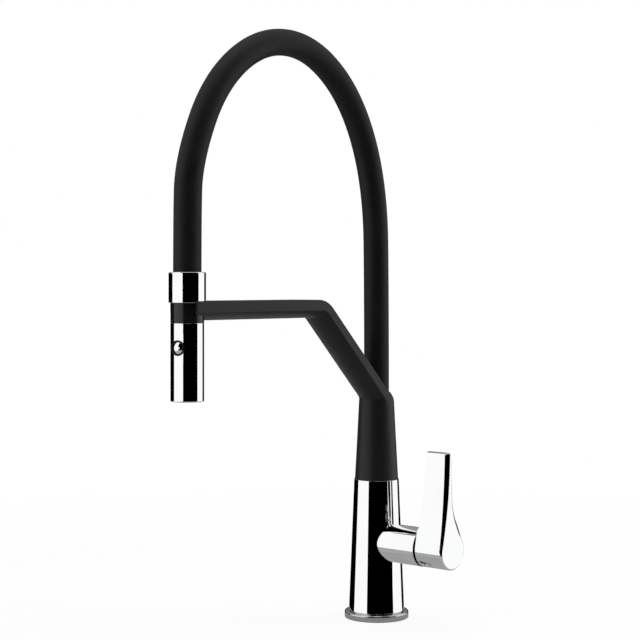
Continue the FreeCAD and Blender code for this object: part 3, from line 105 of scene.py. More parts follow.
class FaucetSizes(bpy.types.PropertyGroup):
    """Sizes of the pieces that the operators model."""

    reach: length("Reach", "From the body's axis to the spray head's axis", 236.5)
    cover_radius: length("Hose radius", "Outside of the black hose cover", 11.3)
    cover_wall: length("Cover wall", "Thickness of the hose cover", 2.3)
    water_radius: length("Water hose radius", "Outside of the braided inner hose", 7.5)
    water_wall: length("Water hose wall", "Thickness of the inner hose", 2.3)
    ring_radius: length("Base ring radius", "Outside of the ring on the sink", 29.0)
    ring_bore: length("Base ring bore", "Inside of the base ring", 20.0)
    ring_height: length("Base ring height", "Top face of the ring above the sink", 6.0)
    ring_edge: length("Base ring edge", "Rounding of the ring's upper rim", 1.5)
    groove_inner: length("Seal groove inside", "Inner wall of the groove for the seal", 23.5)
    groove_outer: length("Seal groove outside", "Outer wall of the groove for the seal", 26.5)
    groove_height: length("Seal groove height", "Roof of the groove for the seal", 2.0)
    lip_radius: length("Lip radius", "Step of the ring that carries the body", 24.0)
    spigot_radius: length("Spigot radius", "Neck of the ring inside the body", 22.6)
    spigot_top: length("Spigot top", "Top of the neck above the sink", 10.8)
    shell_base: length("Body base", "Foot of the chrome body above the sink", 6.8)
    shell_foot: length("Body foot radius", "Chrome body at its foot", 25.0)
    shell_top: length("Body top radius", "Chrome body under the sleeve", 20.2)
    shell_end: length("Body top", "Top of the chrome body above the sink", 125.0)
    shell_wall: length("Body wall", "Wall of the chrome body", 2.2)
    shell_edge: length("Body foot edge", "Rounding of the chrome body's foot", 0.25)
    lever_height: length("Lever height", "Lever axis above the sink", 68.7)
    housing_radius: length("Housing radius", "Side housing of the cartridge", 17.0)
    housing_bore: length("Housing bore", "Inside of the side housing", 14.4)
    housing_end: length("Housing end", "End of the housing from the body's axis", 55.2)
    housing_edge: length("Housing edge", "Rounding of the housing's rim", 0.5)
    hub_foot: length("Hub foot", "Near face of the lever's hub from the body's axis", 57.0)
    hub_end: length("Hub end", "Far face of the lever from the body's axis", 86.2)
    hub_radius: length("Hub radius", "Hub of the lever", 16.8)
    hub_hollow: length("Hub hollow", "Radius of the hollow in the hub's near face", 15.6)
    hub_boss: length("Hub boss", "Radius of the boss in the hollow", 6.5)
    hollow_end: length("Hollow end", "Floor of the hollow from the body's axis", 63.0)
    boss_face: length("Boss face", "Face of the boss from the body's axis", 58.5)
    boss_room: length("Boss room", "How far the boss's face is cleared round it", 1.5)
    socket_width: length("Socket width", "Square hole for the cartridge's stem", 6.8)
    socket_end: length("Socket end", "Floor of the square hole from the body's axis", 72.0)
    grub_place: length("Grub screw place", "Grub screw from the body's axis", 67.0)
    grub_radius: length("Grub screw radius", "Hole for the grub screw", 2.5)
    plug_radius: length("Plug radius", "Hole for the plug under the grub screw", 3.2)
    plug_depth: length("Plug depth", "Depth of the hole for the plug", 3.4)
    tip_height: length("Tip height", "Tip of the lever above its axis", 86.0)
    tip_front: length("Tip front", "Front of the lever's tip, forward of its axis", 7.0)
    tip_back: length("Tip back", "Back of the lever's tip, forward of its axis", 1.0)
    root_height: length("Root height", "Where the blade's back starts to sweep out", 47.0)
    root_back: length("Root back", "Back of the blade there, forward of its axis", 0.2)
    knee_height: length("Knee height", "Where the sweep meets the hub's slope", 27.0)
    front_sweep: length("Front sweep", "Radius of the lever's hollow front", 430.0)
    back_sweep: length("Back sweep", "Radius of the sweep into the hub", 46.0)
    rim_round: length("Lever rim", "Widest rounding of the lever's far rim", 4.2)
    shoulder_sweep: length("Shoulder sweep", "Radius where the blade leaves the hub", 8.0)
    shoulder_foot: length("Shoulder foot", "Foot of that sweep from the body's axis", 57.6)
    shoulder_gap: length("Shoulder gap", "Foot of that sweep above the hub", 0.4)
    shoulder_rise: length("Shoulder rise", "Top of that sweep above the hub", 7.0)
    blade_foot: length("Blade foot", "Blade's near face above the sweep", 59.2)
    blade_lean: length("Blade lean", "Blade's near face at the tip", 62.8)
    collar_bore: length("Collar bore", "Inside of the chrome collar", 11.9)
    collar_radius: length("Collar radius", "Chrome collar at the end of the hose", 14.84)
    collar_top: length("Collar top", "Upper rim of the collar above the sink", 311.4)
    collar_foot: length("Collar foot", "Lower rim of the collar above the sink", 287.1)
    collar_edge: length("Collar edge", "Bevel of the collar's mouth", 0.9)
    head_radius: length("Head radius", "Black band and chrome shell of the head", 13.34)
    head_bore: length("Head bore", "Inside of the chrome shell", 11.94)
    band_bore: length("Band bore", "Inside of the black band", 10.55)
    band_foot: length("Band foot", "Lower edge of the black band above the sink", 271.1)
    band_spigot: length("Band spigot", "Neck of the band inside the shell", 4.0)
    neck_fit: length("Neck fit", "Room between that neck and the shell", 0.05)
    head_gap: length("Head gap", "Gap between the band and the shell", 0.15)
    head_foot: length("Head foot", "Lower rim of the chrome shell above the sink", 208.6)
    head_edge: length("Head edge", "Rounding of the shell's lower rim", 1.0)
    button_height: length("Button height", "Button axis above the sink", 251.5)
    bezel_radius: length("Bezel radius", "Ring round the button", 6.25)
    bezel_bore: length("Bezel bore", "Inside of the ring round the button", 5.35)
    bezel_foot: length("Bezel foot", "Back of that ring from the head's axis", 10.2)
    bezel_face: length("Bezel face", "Front of that ring from the head's axis", 13.9)
    bezel_slope: length("Bezel slope", "Fall of the ring's face to its rim", 0.45)
    bezel_land: length("Bezel land", "Flat part of the ring's face", 0.25)
    bezel_edge: length("Bezel edge", "Rounding of the ring's edges", 0.15)
    cap_radius: length("Cap radius", "Domed cap of the button", 5.25)
    cap_bore: length("Cap bore", "Hollow in the back of the cap", 4.35)
    cap_skirt: length("Cap skirt", "Back edge of the cap from the head's axis", 10.7)
    cap_roof: length("Cap roof", "Floor of the cap's hollow from the head's axis", 12.3)
    cap_rim: length("Cap rim", "Where the dome starts from the head's axis", 12.9)
    cap_dome: length("Cap dome", "Rise of the dome", 2.1)


class FaucetColours(bpy.types.PropertyGroup):
    """Colours of the finishes and of the floor."""

    chrome: colour("Chrome", "Polished chrome plate", 0.94, 0.945, 0.95)
    # Painted shade: the ring round the button is coloured near black for the shade round the
    # sunk button
    bezel_shade: colour("Smoked plate", "Ring round the button", 0.03, 0.03, 0.031)
    # Painted shade: the near black of the faces in the lever's joint stands in for the shade in
    # that gap
    gap: colour("Gap", "Unplated face inside the lever's joint", 0.012, 0.012, 0.012)
    satin: colour("Satin steel", "Brushed base ring", 0.62, 0.62, 0.62)
    moulding: colour("Moulding", "Satin black arm", 0.013, 0.013, 0.0135)
    gloss: colour("Gloss black", "Band of the spray head", 0.008, 0.008, 0.0085)
    silicone: colour("Silicone", "Matt black hose cover", 0.0062, 0.0062, 0.0064)
    braid: colour("Braid", "Reinforced inner hose", 0.36, 0.36, 0.37)
    seal: colour("Seal", "Rubber seals", 0.018, 0.018, 0.018)
    brass: colour("Brass", "Turned brass", 0.62, 0.43, 0.16)
    ceramic: colour("Ceramic", "Lapped discs", 0.83, 0.81, 0.76)
    acetal: colour("Acetal", "White plastic", 0.78, 0.78, 0.75)
    steel: colour("Steel", "Small steel parts", 0.5, 0.5, 0.51)
    floor: colour("Floor", "Pale studio floor", 0.86, 0.86, 0.86)
    bounce: colour("Bounce", "What the floor throws back up at the object", 0.22, 0.22, 0.22)


# Shader arithmetic

class Wire:
    """A shader socket that arithmetic can be written on."""

    def __init__(self, finish, socket):
        self.finish = finish
        self.socket = socket

    def maths(self, operation, first, second=0.0):
        return self.finish.node("ShaderNodeMath", {"operation": operation},
                                {0: first, 1: second})

    def __add__(self, other):
        return self.maths("ADD", self, other)

    def __sub__(self, other):
        return self.maths("SUBTRACT", self, other)

    def __rsub__(self, other):
        return self.maths("SUBTRACT", other, self)

    def __mul__(self, other):
        return self.maths("MULTIPLY", self, other)

    def __pow__(self, other):
        return self.maths("POWER", self, other)

    def sine(self):
        return self.maths("SINE", self)

    def arctan(self, other):
        return self.maths("ARCTAN2", self, other)

    __radd__ = __add__
    __rmul__ = __mul__


def shade(colour_value, share):
    """The colour with that share of its light."""
    return tuple(min(part * share, 1.0) for part in colour_value)


class Finish:
    """A node material. node() adds any node, and set() feeds the Principled shader."""

    def __init__(self, name):
        self.material = bpy.data.materials.new(name)
        self.material.use_nodes = True
        self.tree = self.material.node_tree
        self.shader = self.tree.nodes["Principled BSDF"]

    def node(self, kind, settings=None, values=None, output=0):
        """A node of that kind: its settings first, then the values or wires of its sockets."""
        made = self.tree.nodes.new(kind)
        for key, value in (settings or {}).items():
            setattr(made, key, value)
        for key, value in (values or {}).items():
            self.feed(made.inputs[key], value)
        return Wire(self, made.outputs[output])

    def feed(self, socket, value):
        if isinstance(value, Wire):
            self.tree.links.new(value.socket, socket)
        elif socket.type == "RGBA":
            socket.default_value = (*value, 1)
        else:
            socket.default_value = value

    def set(self, **sockets):
        """Feeds the shader's sockets, written with _ for the spaces in their names."""
        for key, value in sockets.items():
            self.feed(self.shader.inputs[key.replace("_", " ")], value)
        return self.material

    def place(self):
        """The point on the surface in the object's own coordinates."""
        return self.node("ShaderNodeTexCoord", output="Object")

    def along(self, vector, axis):
        """One of the three parts of a vector."""
        return self.node("ShaderNodeSeparateXYZ", {}, {0: vector}, output=axis)

    def joined(self, x, y, z):
        return self.node("ShaderNodeCombineXYZ", {}, {0: x, 1: y, 2: z})

    def noise(self, scale, detail=2.0, vector=None, rough=0.5):
        """Cloudy values of about 0.3 to 0.7, with scale waves a metre."""
        vector = self.place() if vector is None else vector
        return self.node("ShaderNodeTexNoise", {}, {
            "Vector": vector, "Scale": scale, "Detail": detail, "Roughness": rough})

    def spread(self, value, low, high, start=0.3, end=0.7):
        """A value between start and end brought to the range low to high."""
        return self.node("ShaderNodeMapRange", {}, {
            0: value, 1: start, 2: end, 3: low, 4: high})

    def blend(self, share, first, second):
        """A colour between two, by a share of 0 to 1."""
        return self.node("ShaderNodeMix", {"data_type": "RGBA"},
                         {0: share, 6: first, 7: second}, output=2)

    def mottled(self, clouds, plain, low, high, start=0.3, end=0.7):
        """A colour whose light goes from one share to another with cloudy values."""
        return self.blend(self.spread(clouds, 0.0, 1.0, start, end),
                          shade(plain, low), shade(plain, high))

    def relief(self, height, depth):
        """Bump of a height of 0 to 1, with its depth in metres."""
        return self.node("ShaderNodeBump", {}, {"Height": height, "Distance": depth})

    def turning_marks(self, axis_point, wave, rough=0.5):
        """Fine lines round an upright axis, as a lathe or a brush leaves them."""
        place = self.node("ShaderNodeMapping", {}, {
            0: self.place(), "Location": tuple(-part for part in axis_point)})
        across, deep, up = (self.along(place, axis) for axis in range(3))
        radius = (across * across + deep * deep) ** 0.5
        ring = self.joined(radius * wave, up * wave, deep.arctan(across) * 2.0)
        return self.noise(1.0, 3.0, ring, rough)


class StageFinish(Finish):
    """Nodes of the floor, of a card or of the world, which say what each kind of ray sees."""

    def __init__(self, name, kind=bpy.data.materials):
        self.material = kind.new(name)
        self.material.use_nodes = True
        self.tree = self.material.node_tree
        self.tree.nodes.clear()

    def ray(self, kind):
        return self.node("ShaderNodeLightPath", output=kind)

    def mix(self, share, first, second):
        return self.node("ShaderNodeMixShader", {}, {0: share, 1: first, 2: second})

    def surface(self, shader):
        """Makes that shader the surface, and gives back the material."""
        world = isinstance(self.material, bpy.types.World)
        kind = "ShaderNodeOutputWorld" if world else "ShaderNodeOutputMaterial"
        self.tree.links.new(shader.socket, self.tree.nodes.new(kind).inputs["Surface"])
        return self.material


# Finishes

# Painted shade in the lever's joint: how deep it lies on the hub, the width over which it fades
# in, and the roughness of that face
GAP_SHADE_DEPTH = mm(0.1)
GAP_SHADE_FADE = mm(0.3)
GAP_FACE_ROUGHNESS = 0.6


def chrome_finish(paint, name="polished_chrome", painted_shade_at=None):
    """Mirror plate with a trace of finger film. The last argument is a pair of places along X,
    in
    metres: plain plate at the first, and rough, with the painted shade of the gap, at the
    second."""
    finish = Finish(name)
    film = finish.noise(38.0, 4.0)
    tint = finish.mottled(film, paint.chrome, 1.0, 1.04)
    rough = finish.spread(film, 0.006, 0.016)
    if painted_shade_at:
        dull = finish.spread(finish.along(finish.place(), 0), 0.0, 1.0, *painted_shade_at)
        # Painted shade: the colour goes to the gap's painted shade along X, and the same share
        # makes that face rougher
        tint = finish.blend(dull, tint, tuple(paint.gap))
        rough = rough + dull * GAP_FACE_ROUGHNESS
    return finish.set(Base_Color=tint, Metallic=1.0, Roughness=rough)


def housing_finish(paint):
    """The body's chrome, with painted shade of the gap on the end of the housing."""
    sizes = bpy.context.scene.faucet_sizes
    gap_shade_start = sizes.housing_end - sizes.housing_edge
    return chrome_finish(paint, "housing_chrome", (gap_shade_start, gap_shade_start + GAP_SHADE_FADE))


def lever_finish(paint):
    """The lever's chrome, with painted shade of the gap on the hub's near face."""
    painted_shade_at = bpy.context.scene.faucet_sizes.hub_foot + GAP_SHADE_DEPTH
    return chrome_finish(paint, "lever_chrome", (painted_shade_at + GAP_SHADE_FADE, painted_shade_at))


def bezel_finish(paint):
    """Chrome of the ring round the button, darkened to near black with painted shade."""
    finish = Finish("bezel_shade_chrome")
    film = finish.noise(38.0, 4.0)
    # Painted shade: the ring's chrome takes the near-black colour of the bezel shade
    tint = finish.mottled(film, paint.bezel_shade, 1.0, 1.4)
    return finish.set(Base_Color=tint, Metallic=1.0,
                      Roughness=finish.spread(film, 0.05, 0.1))


def satin_finish(paint):
    """Steel brushed round the upright axis."""
    finish = Finish("satin_steel")
    marks = finish.turning_marks((0, 0, 0), 5200.0)
    tint = finish.mottled(marks, paint.satin, 0.86, 1.14)
    return finish.set(Base_Color=tint, Metallic=1.0,
                      Roughness=finish.spread(marks, 0.08, 0.14),
                      Normal=finish.relief(marks, mm(0.004)))


def moulding_finish(paint):
    """Black moulded plastic with a fine spark-eroded grain."""
    finish = Finish("black_moulding")
    grain = finish.noise(2600.0, 2.0)
    cloud = finish.noise(24.0, 3.0)
    tint = finish.mottled(cloud, paint.moulding, 1.0, 1.35)
    rough = finish.spread(cloud, 0.36, 0.43) + finish.spread(grain, 0.0, 0.06)
    return finish.set(Base_Color=tint, Roughness=rough, Specular_IOR_Level=0.3,
                      Normal=finish.relief(grain, mm(0.018)))


def gloss_finish(paint):
    """Semi-gloss black with a slight flow texture."""
    finish = Finish("gloss_black")
    flow = finish.noise(900.0, 3.0)
    film = finish.noise(60.0, 3.0)
    tint = finish.mottled(film, paint.gloss, 1.0, 1.4)
    return finish.set(Base_Color=tint, Roughness=finish.spread(film, 0.15, 0.23),
                      Normal=finish.relief(flow, mm(0.004)))


def silicone_finish(paint):
    """Matt silicone with a very fine tooth that holds a little dust."""
    finish = Finish("black_silicone")
    tooth = finish.noise(3400.0, 2.0)
    dust = finish.noise(45.0, 5.0, rough=0.62)
    tint = finish.mottled(dust, paint.silicone, 1.0, 1.7, start=0.42, end=0.75)
    rough = finish.spread(dust, 0.5, 0.6) + finish.spread(tooth, 0.0, 0.08)
    return finish.set(Base_Color=tint, Roughness=rough, Specular_IOR_Level=0.3,
                      Normal=finish.relief(tooth, mm(0.02)))


def braid_finish(paint):
    """Two crossing sets of strands wound round the inner hose, on its own UV map."""
    finish = Finish("steel_braid")
    sheet = finish.node("ShaderNodeUVMap", {"uv_map": "UVMap"})
    around = finish.along(sheet, 1) * FULL_TURN
    along = finish.along(sheet, 0) * FULL_TURN
    strands = 12.0
    turns = 150.0
    left = (around * strands + along * turns).sine()
    right = (around * strands - along * turns).sine()
    over = left * right
    tint = finish.mottled(over, paint.braid, 0.35, 1.0, start=-0.6, end=0.6)
    return finish.set(Base_Color=tint, Metallic=0.7,
                      Roughness=finish.spread(over, 0.32, 0.55, -1.0, 1.0),
                      Normal=finish.relief(finish.spread(over, 0.0, 1.0, -1.0, 1.0), mm(0.3)))


def seal_finish(paint):
    """Rubber with a dry bloom."""
    finish = Finish("seal_rubber")
    bloom = finish.noise(700.0, 3.0)
    tint = finish.mottled(bloom, paint.seal, 1.0, 1.6)
    return finish.set(Base_Color=tint, Roughness=finish.spread(bloom, 0.5, 0.7),
                      Normal=finish.relief(bloom, mm(0.02)))


def brass_finish(paint):
    """Turned brass, a little dulled."""
    finish = Finish("turned_brass")
    marks = finish.turning_marks((0, 0, 0), 3600.0)
    dull = finish.noise(120.0, 4.0)
    tint = finish.mottled(dull, paint.brass, 1.0, 0.72)
    return finish.set(Base_Color=tint, Metallic=1.0,
                      Roughness=finish.spread(dull, 0.24, 0.4) + finish.spread(marks, 0, 0.08),
                      Normal=finish.relief(marks, mm(0.006)))


def ceramic_finish(paint):
    """Lapped ceramic with a fine speckle."""
    finish = Finish("lapped_ceramic")
    speckle = finish.noise(2200.0, 4.0)
    tint = finish.mottled(speckle, paint.ceramic, 0.9, 1.0)
    return finish.set(Base_Color=tint, Roughness=finish.spread(speckle, 0.1, 0.2))


def acetal_finish(paint):
    """White moulded plastic, faintly mottled."""
    finish = Finish("white_acetal")
    mottle = finish.noise(320.0, 3.0)
    tint = finish.mottled(mottle, paint.acetal, 0.93, 1.0)
    return finish.set(Base_Color=tint, Roughness=finish.spread(mottle, 0.36, 0.48),
                      Normal=finish.relief(mottle, mm(0.01)))


def steel_finish(paint):
    """Small stainless parts with a drawn grain."""
    finish = Finish("stainless_steel")
    grain = finish.noise(1.0, 3.0, finish.node("ShaderNodeMapping", {}, {
        0: finish.place(), "Scale": (300.0, 300.0, 4200.0)}))
    tint = finish.mottled(grain, paint.steel, 0.85, 1.1)
    return finish.set(Base_Color=tint, Metallic=1.0,
                      Roughness=finish.spread(grain, 0.2, 0.38))


# A finish for each material slot, and three more for pieces whose slot says chrome
FINISHES = {
    "chrome": chrome_finish,
    "housing": housing_finish,
    "lever": lever_finish,
    "bezel": bezel_finish,
    "satin_steel": satin_finish,
    "black_moulding": moulding_finish,
    "black_gloss": gloss_finish,
    "black_silicone": silicone_finish,
    "braid": braid_finish,
    "seal": seal_finish,
    "brass": brass_finish,
    "ceramic": ceramic_finish,
    "white_plastic": acetal_finish,
    "steel": steel_finish,
}
made_finishes = {}


def finish_for(name):
    """The material of one of the finishes, made once."""
    if name not in made_finishes:
        made_finishes[name] = FINISHES[name](bpy.context.scene.faucet_colours)
    return made_finishes[name]


# Modelling helpers

def turned(profile, steps=LARGE_STEPS, matrix=None):
    """A closed solid of revolution about Z. A corner is (radius, height), or
    (radius, height, rounding)."""
    mesh = bmesh.new()
    corners = [mesh.verts.new((radius, 0.0, height)) for radius, height, *_ in profile]
    for start, end in zip(corners, corners[1:] + corners[:1]):
        if start.co.x > 0 or end.co.x > 0:
            mesh.edges.new((start, end))
    for corner, (_, _, *rounding) in zip(corners, profile):
        if rounding:
            bmesh.ops.bevel(mesh, geom=[corner], offset=rounding[0], segments=6,
                            offset_type="OFFSET", profile=0.5, affect="VERTICES", material=-1)
    return spun(mesh, steps, matrix)


def spun(mesh, steps=LARGE_STEPS, matrix=None):
    """A half outline in the XZ plane turned round Z into a closed solid."""
    bmesh.ops.spin(mesh, geom=mesh.verts[:] + mesh.edges[:], cent=(0, 0, 0), axis=(0, 0, 1),
                   angle=FULL_TURN, steps=steps, use_merge=True)
    bmesh.ops.remove_doubles(mesh, verts=mesh.verts[:], dist=MERGE)
    bmesh.ops.recalc_face_normals(mesh, faces=mesh.faces[:])
    if matrix is not None:
        mesh.transform(matrix)
    return mesh


def line(mesh, corner, place):
    """Carries an outline on from a corner to a place, and gives back the new corner."""
    made = bmesh.ops.extrude_vert_indiv(mesh, verts=[corner])["verts"][0]
    made.co = place
    return made


def arc(mesh, corner, centre, axis, angle, steps):
    """Carries an outline on from a corner, round a centre, and gives back the new corner."""
    made = bmesh.ops.spin(mesh, geom=[corner], cent=centre, axis=axis, angle=angle,
                          steps=steps)
    return next(part for part in made["geom_last"] if isinstance(part, bmesh.types.BMVert))


def bow(mesh, corner, place, radius, axis, steps=12):
    """Carries an outline on to a place along an arc. Its centre lies to the left of the way
    there, as seen with the axis pointing at the eye."""
    chord = Vector(place) - corner.co
    side = Vector(axis).cross(chord).normalized()
    centre = corner.co + chord / 2 + side * math.sqrt(radius ** 2 - chord.length_squared / 4)
    angle = 2 * math.asin(chord.length / 2 / radius)
    return arc(mesh, corner, centre, axis, angle, steps)


def drawn_out(mesh, way):
    """Fills a closed outline and draws it out into a solid."""
    bmesh.ops.remove_doubles(mesh, verts=mesh.verts[:], dist=MERGE)
    bmesh.ops.edgeloop_fill(mesh, edges=mesh.edges[:])
    made = bmesh.ops.extrude_face_region(mesh, geom=mesh.faces[:])["geom"]
    bmesh.ops.translate(mesh, vec=way,
                        verts=[part for part in made if isinstance(part, bmesh.types.BMVert)])
    bmesh.ops.recalc_face_normals(mesh, faces=mesh.faces[:])
    return mesh


def held(name, data):
    """An object in the scene that holds the data."""
    holder = bpy.data.objects.new(name, data)
    bpy.context.scene.collection.objects.link(holder)
    return holder


def linked(name, mesh):
    """An object at the origin that holds the mesh."""
    data = bpy.data.meshes.new(name)
    mesh.to_mesh(data)
    mesh.free()
    return held(name, data)


def smoothed(piece, angle=32.0):
    """Smooth shading that keeps edges sharper than that angle, in degrees."""
    piece.data.shade_smooth()
    piece.data.set_sharp_from_angle(angle=math.radians(angle))
    normals = piece.modifiers.new("even_normals", "WEIGHTED_NORMAL")
    normals.keep_sharp = True
    return piece


def painted(piece, name):
    """Gives a piece that finish and no other."""
    piece.data.materials.clear()
    piece.data.materials.append(finish_for(name))


def dressed(piece, slot, body, node, finish=None):
    """Gives a piece the finish of its slot, or the one named, hides the node it replaces, and
    sets it on its body.
    """
    painted(piece, finish or slot)
    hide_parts(node)
    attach(piece, body)


def carved(piece, operation, mesh):
    """Joins a mesh to a piece, or cuts it away, and keeps the result as the piece's mesh."""
    tool = linked("tool", mesh)
    cut = piece.modifiers.new("cut", "BOOLEAN")
    cut.operation = operation
    cut.solver = "EXACT"
    cut.object = tool
    graph = bpy.context.evaluated_depsgraph_get()
    result = bpy.data.meshes.new_from_object(piece.evaluated_get(graph), depsgraph=graph)
    piece.modifiers.clear()
    piece.data = result
    bpy.data.objects.remove(tool)


def merged_copy(node):
    """A CAD node's mesh with its loose triangles joined."""
    mesh = bmesh.new()
    mesh.from_mesh(NODES[node].data)
    bmesh.ops.remove_doubles(mesh, verts=mesh.verts[:], dist=NODE_MERGE)
    bmesh.ops.dissolve_limit(mesh, angle_limit=FLAT, verts=mesh.verts[:],
                             edges=mesh.edges[:])
    return mesh


def lever_axis(sizes):
    """Brings a shape turned about Z to the lever's axis, along X."""
    return (Matrix.Translation((0, 0, sizes.lever_height))
            @ Matrix.Rotation(math.pi / 2, 4, "Y"))


def head_axis(sizes):
    """Brings a shape turned about Z to the spray head's axis."""
    return Matrix.Translation((0, -sizes.reach, 0))


# The button's turn round the head's axis, from straight ahead
HEAD_TURN = math.radians(11.5)


def button_axis(sizes):
    """Brings a shape turned about Z to the button's axis, pointing outwards."""
    return (Matrix.Translation((0, -sizes.reach, sizes.button_height))
            @ Matrix.Rotation(HEAD_TURN, 4, "Z") @ Matrix.Rotation(math.pi / 2, 4, "X"))


# The hose's route in the spout's plane, in millimetres: distance towards the head, and height

HOSE_ROUTE = [
    (0, 186), (0, 290), (2, 390), (33, 465), (88, 507),
    (150, 507), (205, 467), (235, 400), (236.5, 352), (236.5, 293)]


def hose_curve(name, radius, resolution):
    """The route as a smooth curve, with a round section where radius isn't 0."""
    curve = bpy.data.curves.new(name, "CURVE")
    curve.dimensions = "3D"
    spline = curve.splines.new("NURBS")
    spline.points.add(len(HOSE_ROUTE) - 1)
    for point, (out, up) in zip(spline.points, HOSE_ROUTE):
        point.co = (*mm(0, -out, up), 1)
    spline.order_u = 3
    spline.use_endpoint_u = True
    curve.resolution_u = 24
    curve.bevel_depth = radius
    curve.bevel_resolution = resolution
    holder = held(name, curve)
    graph = bpy.context.evaluated_depsgraph_get()
    mesh = bpy.data.meshes.new_from_object(holder.evaluated_get(graph), depsgraph=graph)
    bpy.data.objects.remove(holder)
    return mesh


def hose_piece(name, node, slot, radius, wall):
    """A tube on the route that bends between the spout and the hose's end."""
    path = [tuple(vertex.co) for vertex in hose_curve(name, 0.0, resolution=0).vertices]
    piece = held(name, hose_curve(name, radius, resolution=22))
    piece.data.shade_smooth()
    skin = piece.modifiers.new("wall", "SOLIDIFY")
    skin.thickness = wall
    skin.offset = -1
    painted(piece, slot)
    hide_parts(node)
    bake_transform(piece)
    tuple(path[0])


class FAUCET_OT_hose(bpy.types.Operator):
    """Black hose cover with the braided water hose inside it"""

    bl_idname = "faucet.hose"
    bl_label = "Hose"

    def execute(self, context):
        sizes = context.scene.faucet_sizes
        hose_piece("hose_cover_skin", "hose_cover", "black_silicone",
                   sizes.cover_radius, sizes.cover_wall)
        hose_piece("water_hose_braid", "water_hose", "braid",
                   sizes.water_radius, sizes.water_wall)
        return {"FINISHED"}


class FAUCET_OT_arm(bpy.types.Operator):
    """Black moulded arm with its sleeve and fork"""

    bl_idname = "faucet.arm"
    bl_label = "Arm"

    def execute(self, context):
        piece = smoothed(linked("arm_moulding", merged_copy("support_arm")))
        dressed(piece, "black_moulding", "spout", "support_arm")
        return {"FINISHED"}


class FAUCET_OT_body(bpy.types.Operator):
    """Base ring and the tapered chrome body with its side housing"""

    bl_idname = "faucet.body"
    bl_label = "Body"

    def execute(self, context):
        self.base_ring(context.scene.faucet_sizes)
        self.shell(context.scene.faucet_sizes)
        return {"FINISHED"}

    def base_ring(self, s):
        """Brushed ring with the seal's groove under it and the body's neck on it."""
        ring = linked("base_ring_brushed", turned([
            (s.ring_bore, 0), (s.groove_inner, 0), (s.groove_inner, s.groove_height),
            (s.groove_outer, s.groove_height), (s.groove_outer, 0),
            (s.ring_radius, 0, SOFT_EDGE), (s.ring_radius, s.ring_height, s.ring_edge),
            (s.lip_radius, s.ring_height, FINE_EDGE), (s.lip_radius, s.shell_base, FINE_EDGE),
            (s.spigot_radius, s.shell_base), (s.spigot_radius, s.spigot_top),
            (s.ring_bore, s.spigot_top)]))
        dressed(smoothed(ring), "satin_steel", "faucet_body", "base_ring")

    def shell(self, s):
        """Cone and housing joined as solids, and then bored out."""
        axis = lever_axis(s)
        shell = linked("body_shell_chrome", turned([
            (0, s.shell_base), (s.shell_foot, s.shell_base, s.shell_edge),
            (s.shell_top, s.shell_end, EDGE), (0, s.shell_end)]))
        carved(shell, "UNION", turned([
            (0, 0), (s.housing_radius, 0), (s.housing_radius, s.housing_end, s.housing_edge),
            (0, s.housing_end)], LARGE_STEPS, axis))
        foot_bore = s.shell_foot - s.shell_wall
        top_bore = s.shell_top - s.shell_wall
        carved(shell, "DIFFERENCE", turned([
            (0, s.shell_base - PAST), (foot_bore, s.shell_base - PAST),
            (foot_bore, s.shell_base), (top_bore, s.shell_end),
            (top_bore, s.shell_end + PAST), (0, s.shell_end + PAST)]))
        carved(shell, "DIFFERENCE", turned([
            (0, 0), (s.housing_bore, 0), (s.housing_bore, s.housing_end + PAST),
            (0, s.housing_end + PAST)], SMALL_STEPS, axis))
        dressed(smoothed(shell), "chrome", "faucet_body", "body_shell", finish="housing")


# Where the lever's front and back leave the hub's circle, as angles above its axis
FRONT_LEAN = math.radians(12.1)
BACK_LEAN = math.radians(25.2)
# Share of the widest rounding that the rim has round the hub and at the tip
HUB_RIM_SHARE = 0.4
RIM_SEGMENTS = 8
# A corner this near to a plane lies on it, and an edge that goes further than this along the
# lever's axis joins its two ends
ON_PLANE = mm(0.1)
LONG_EDGE = mm(1)


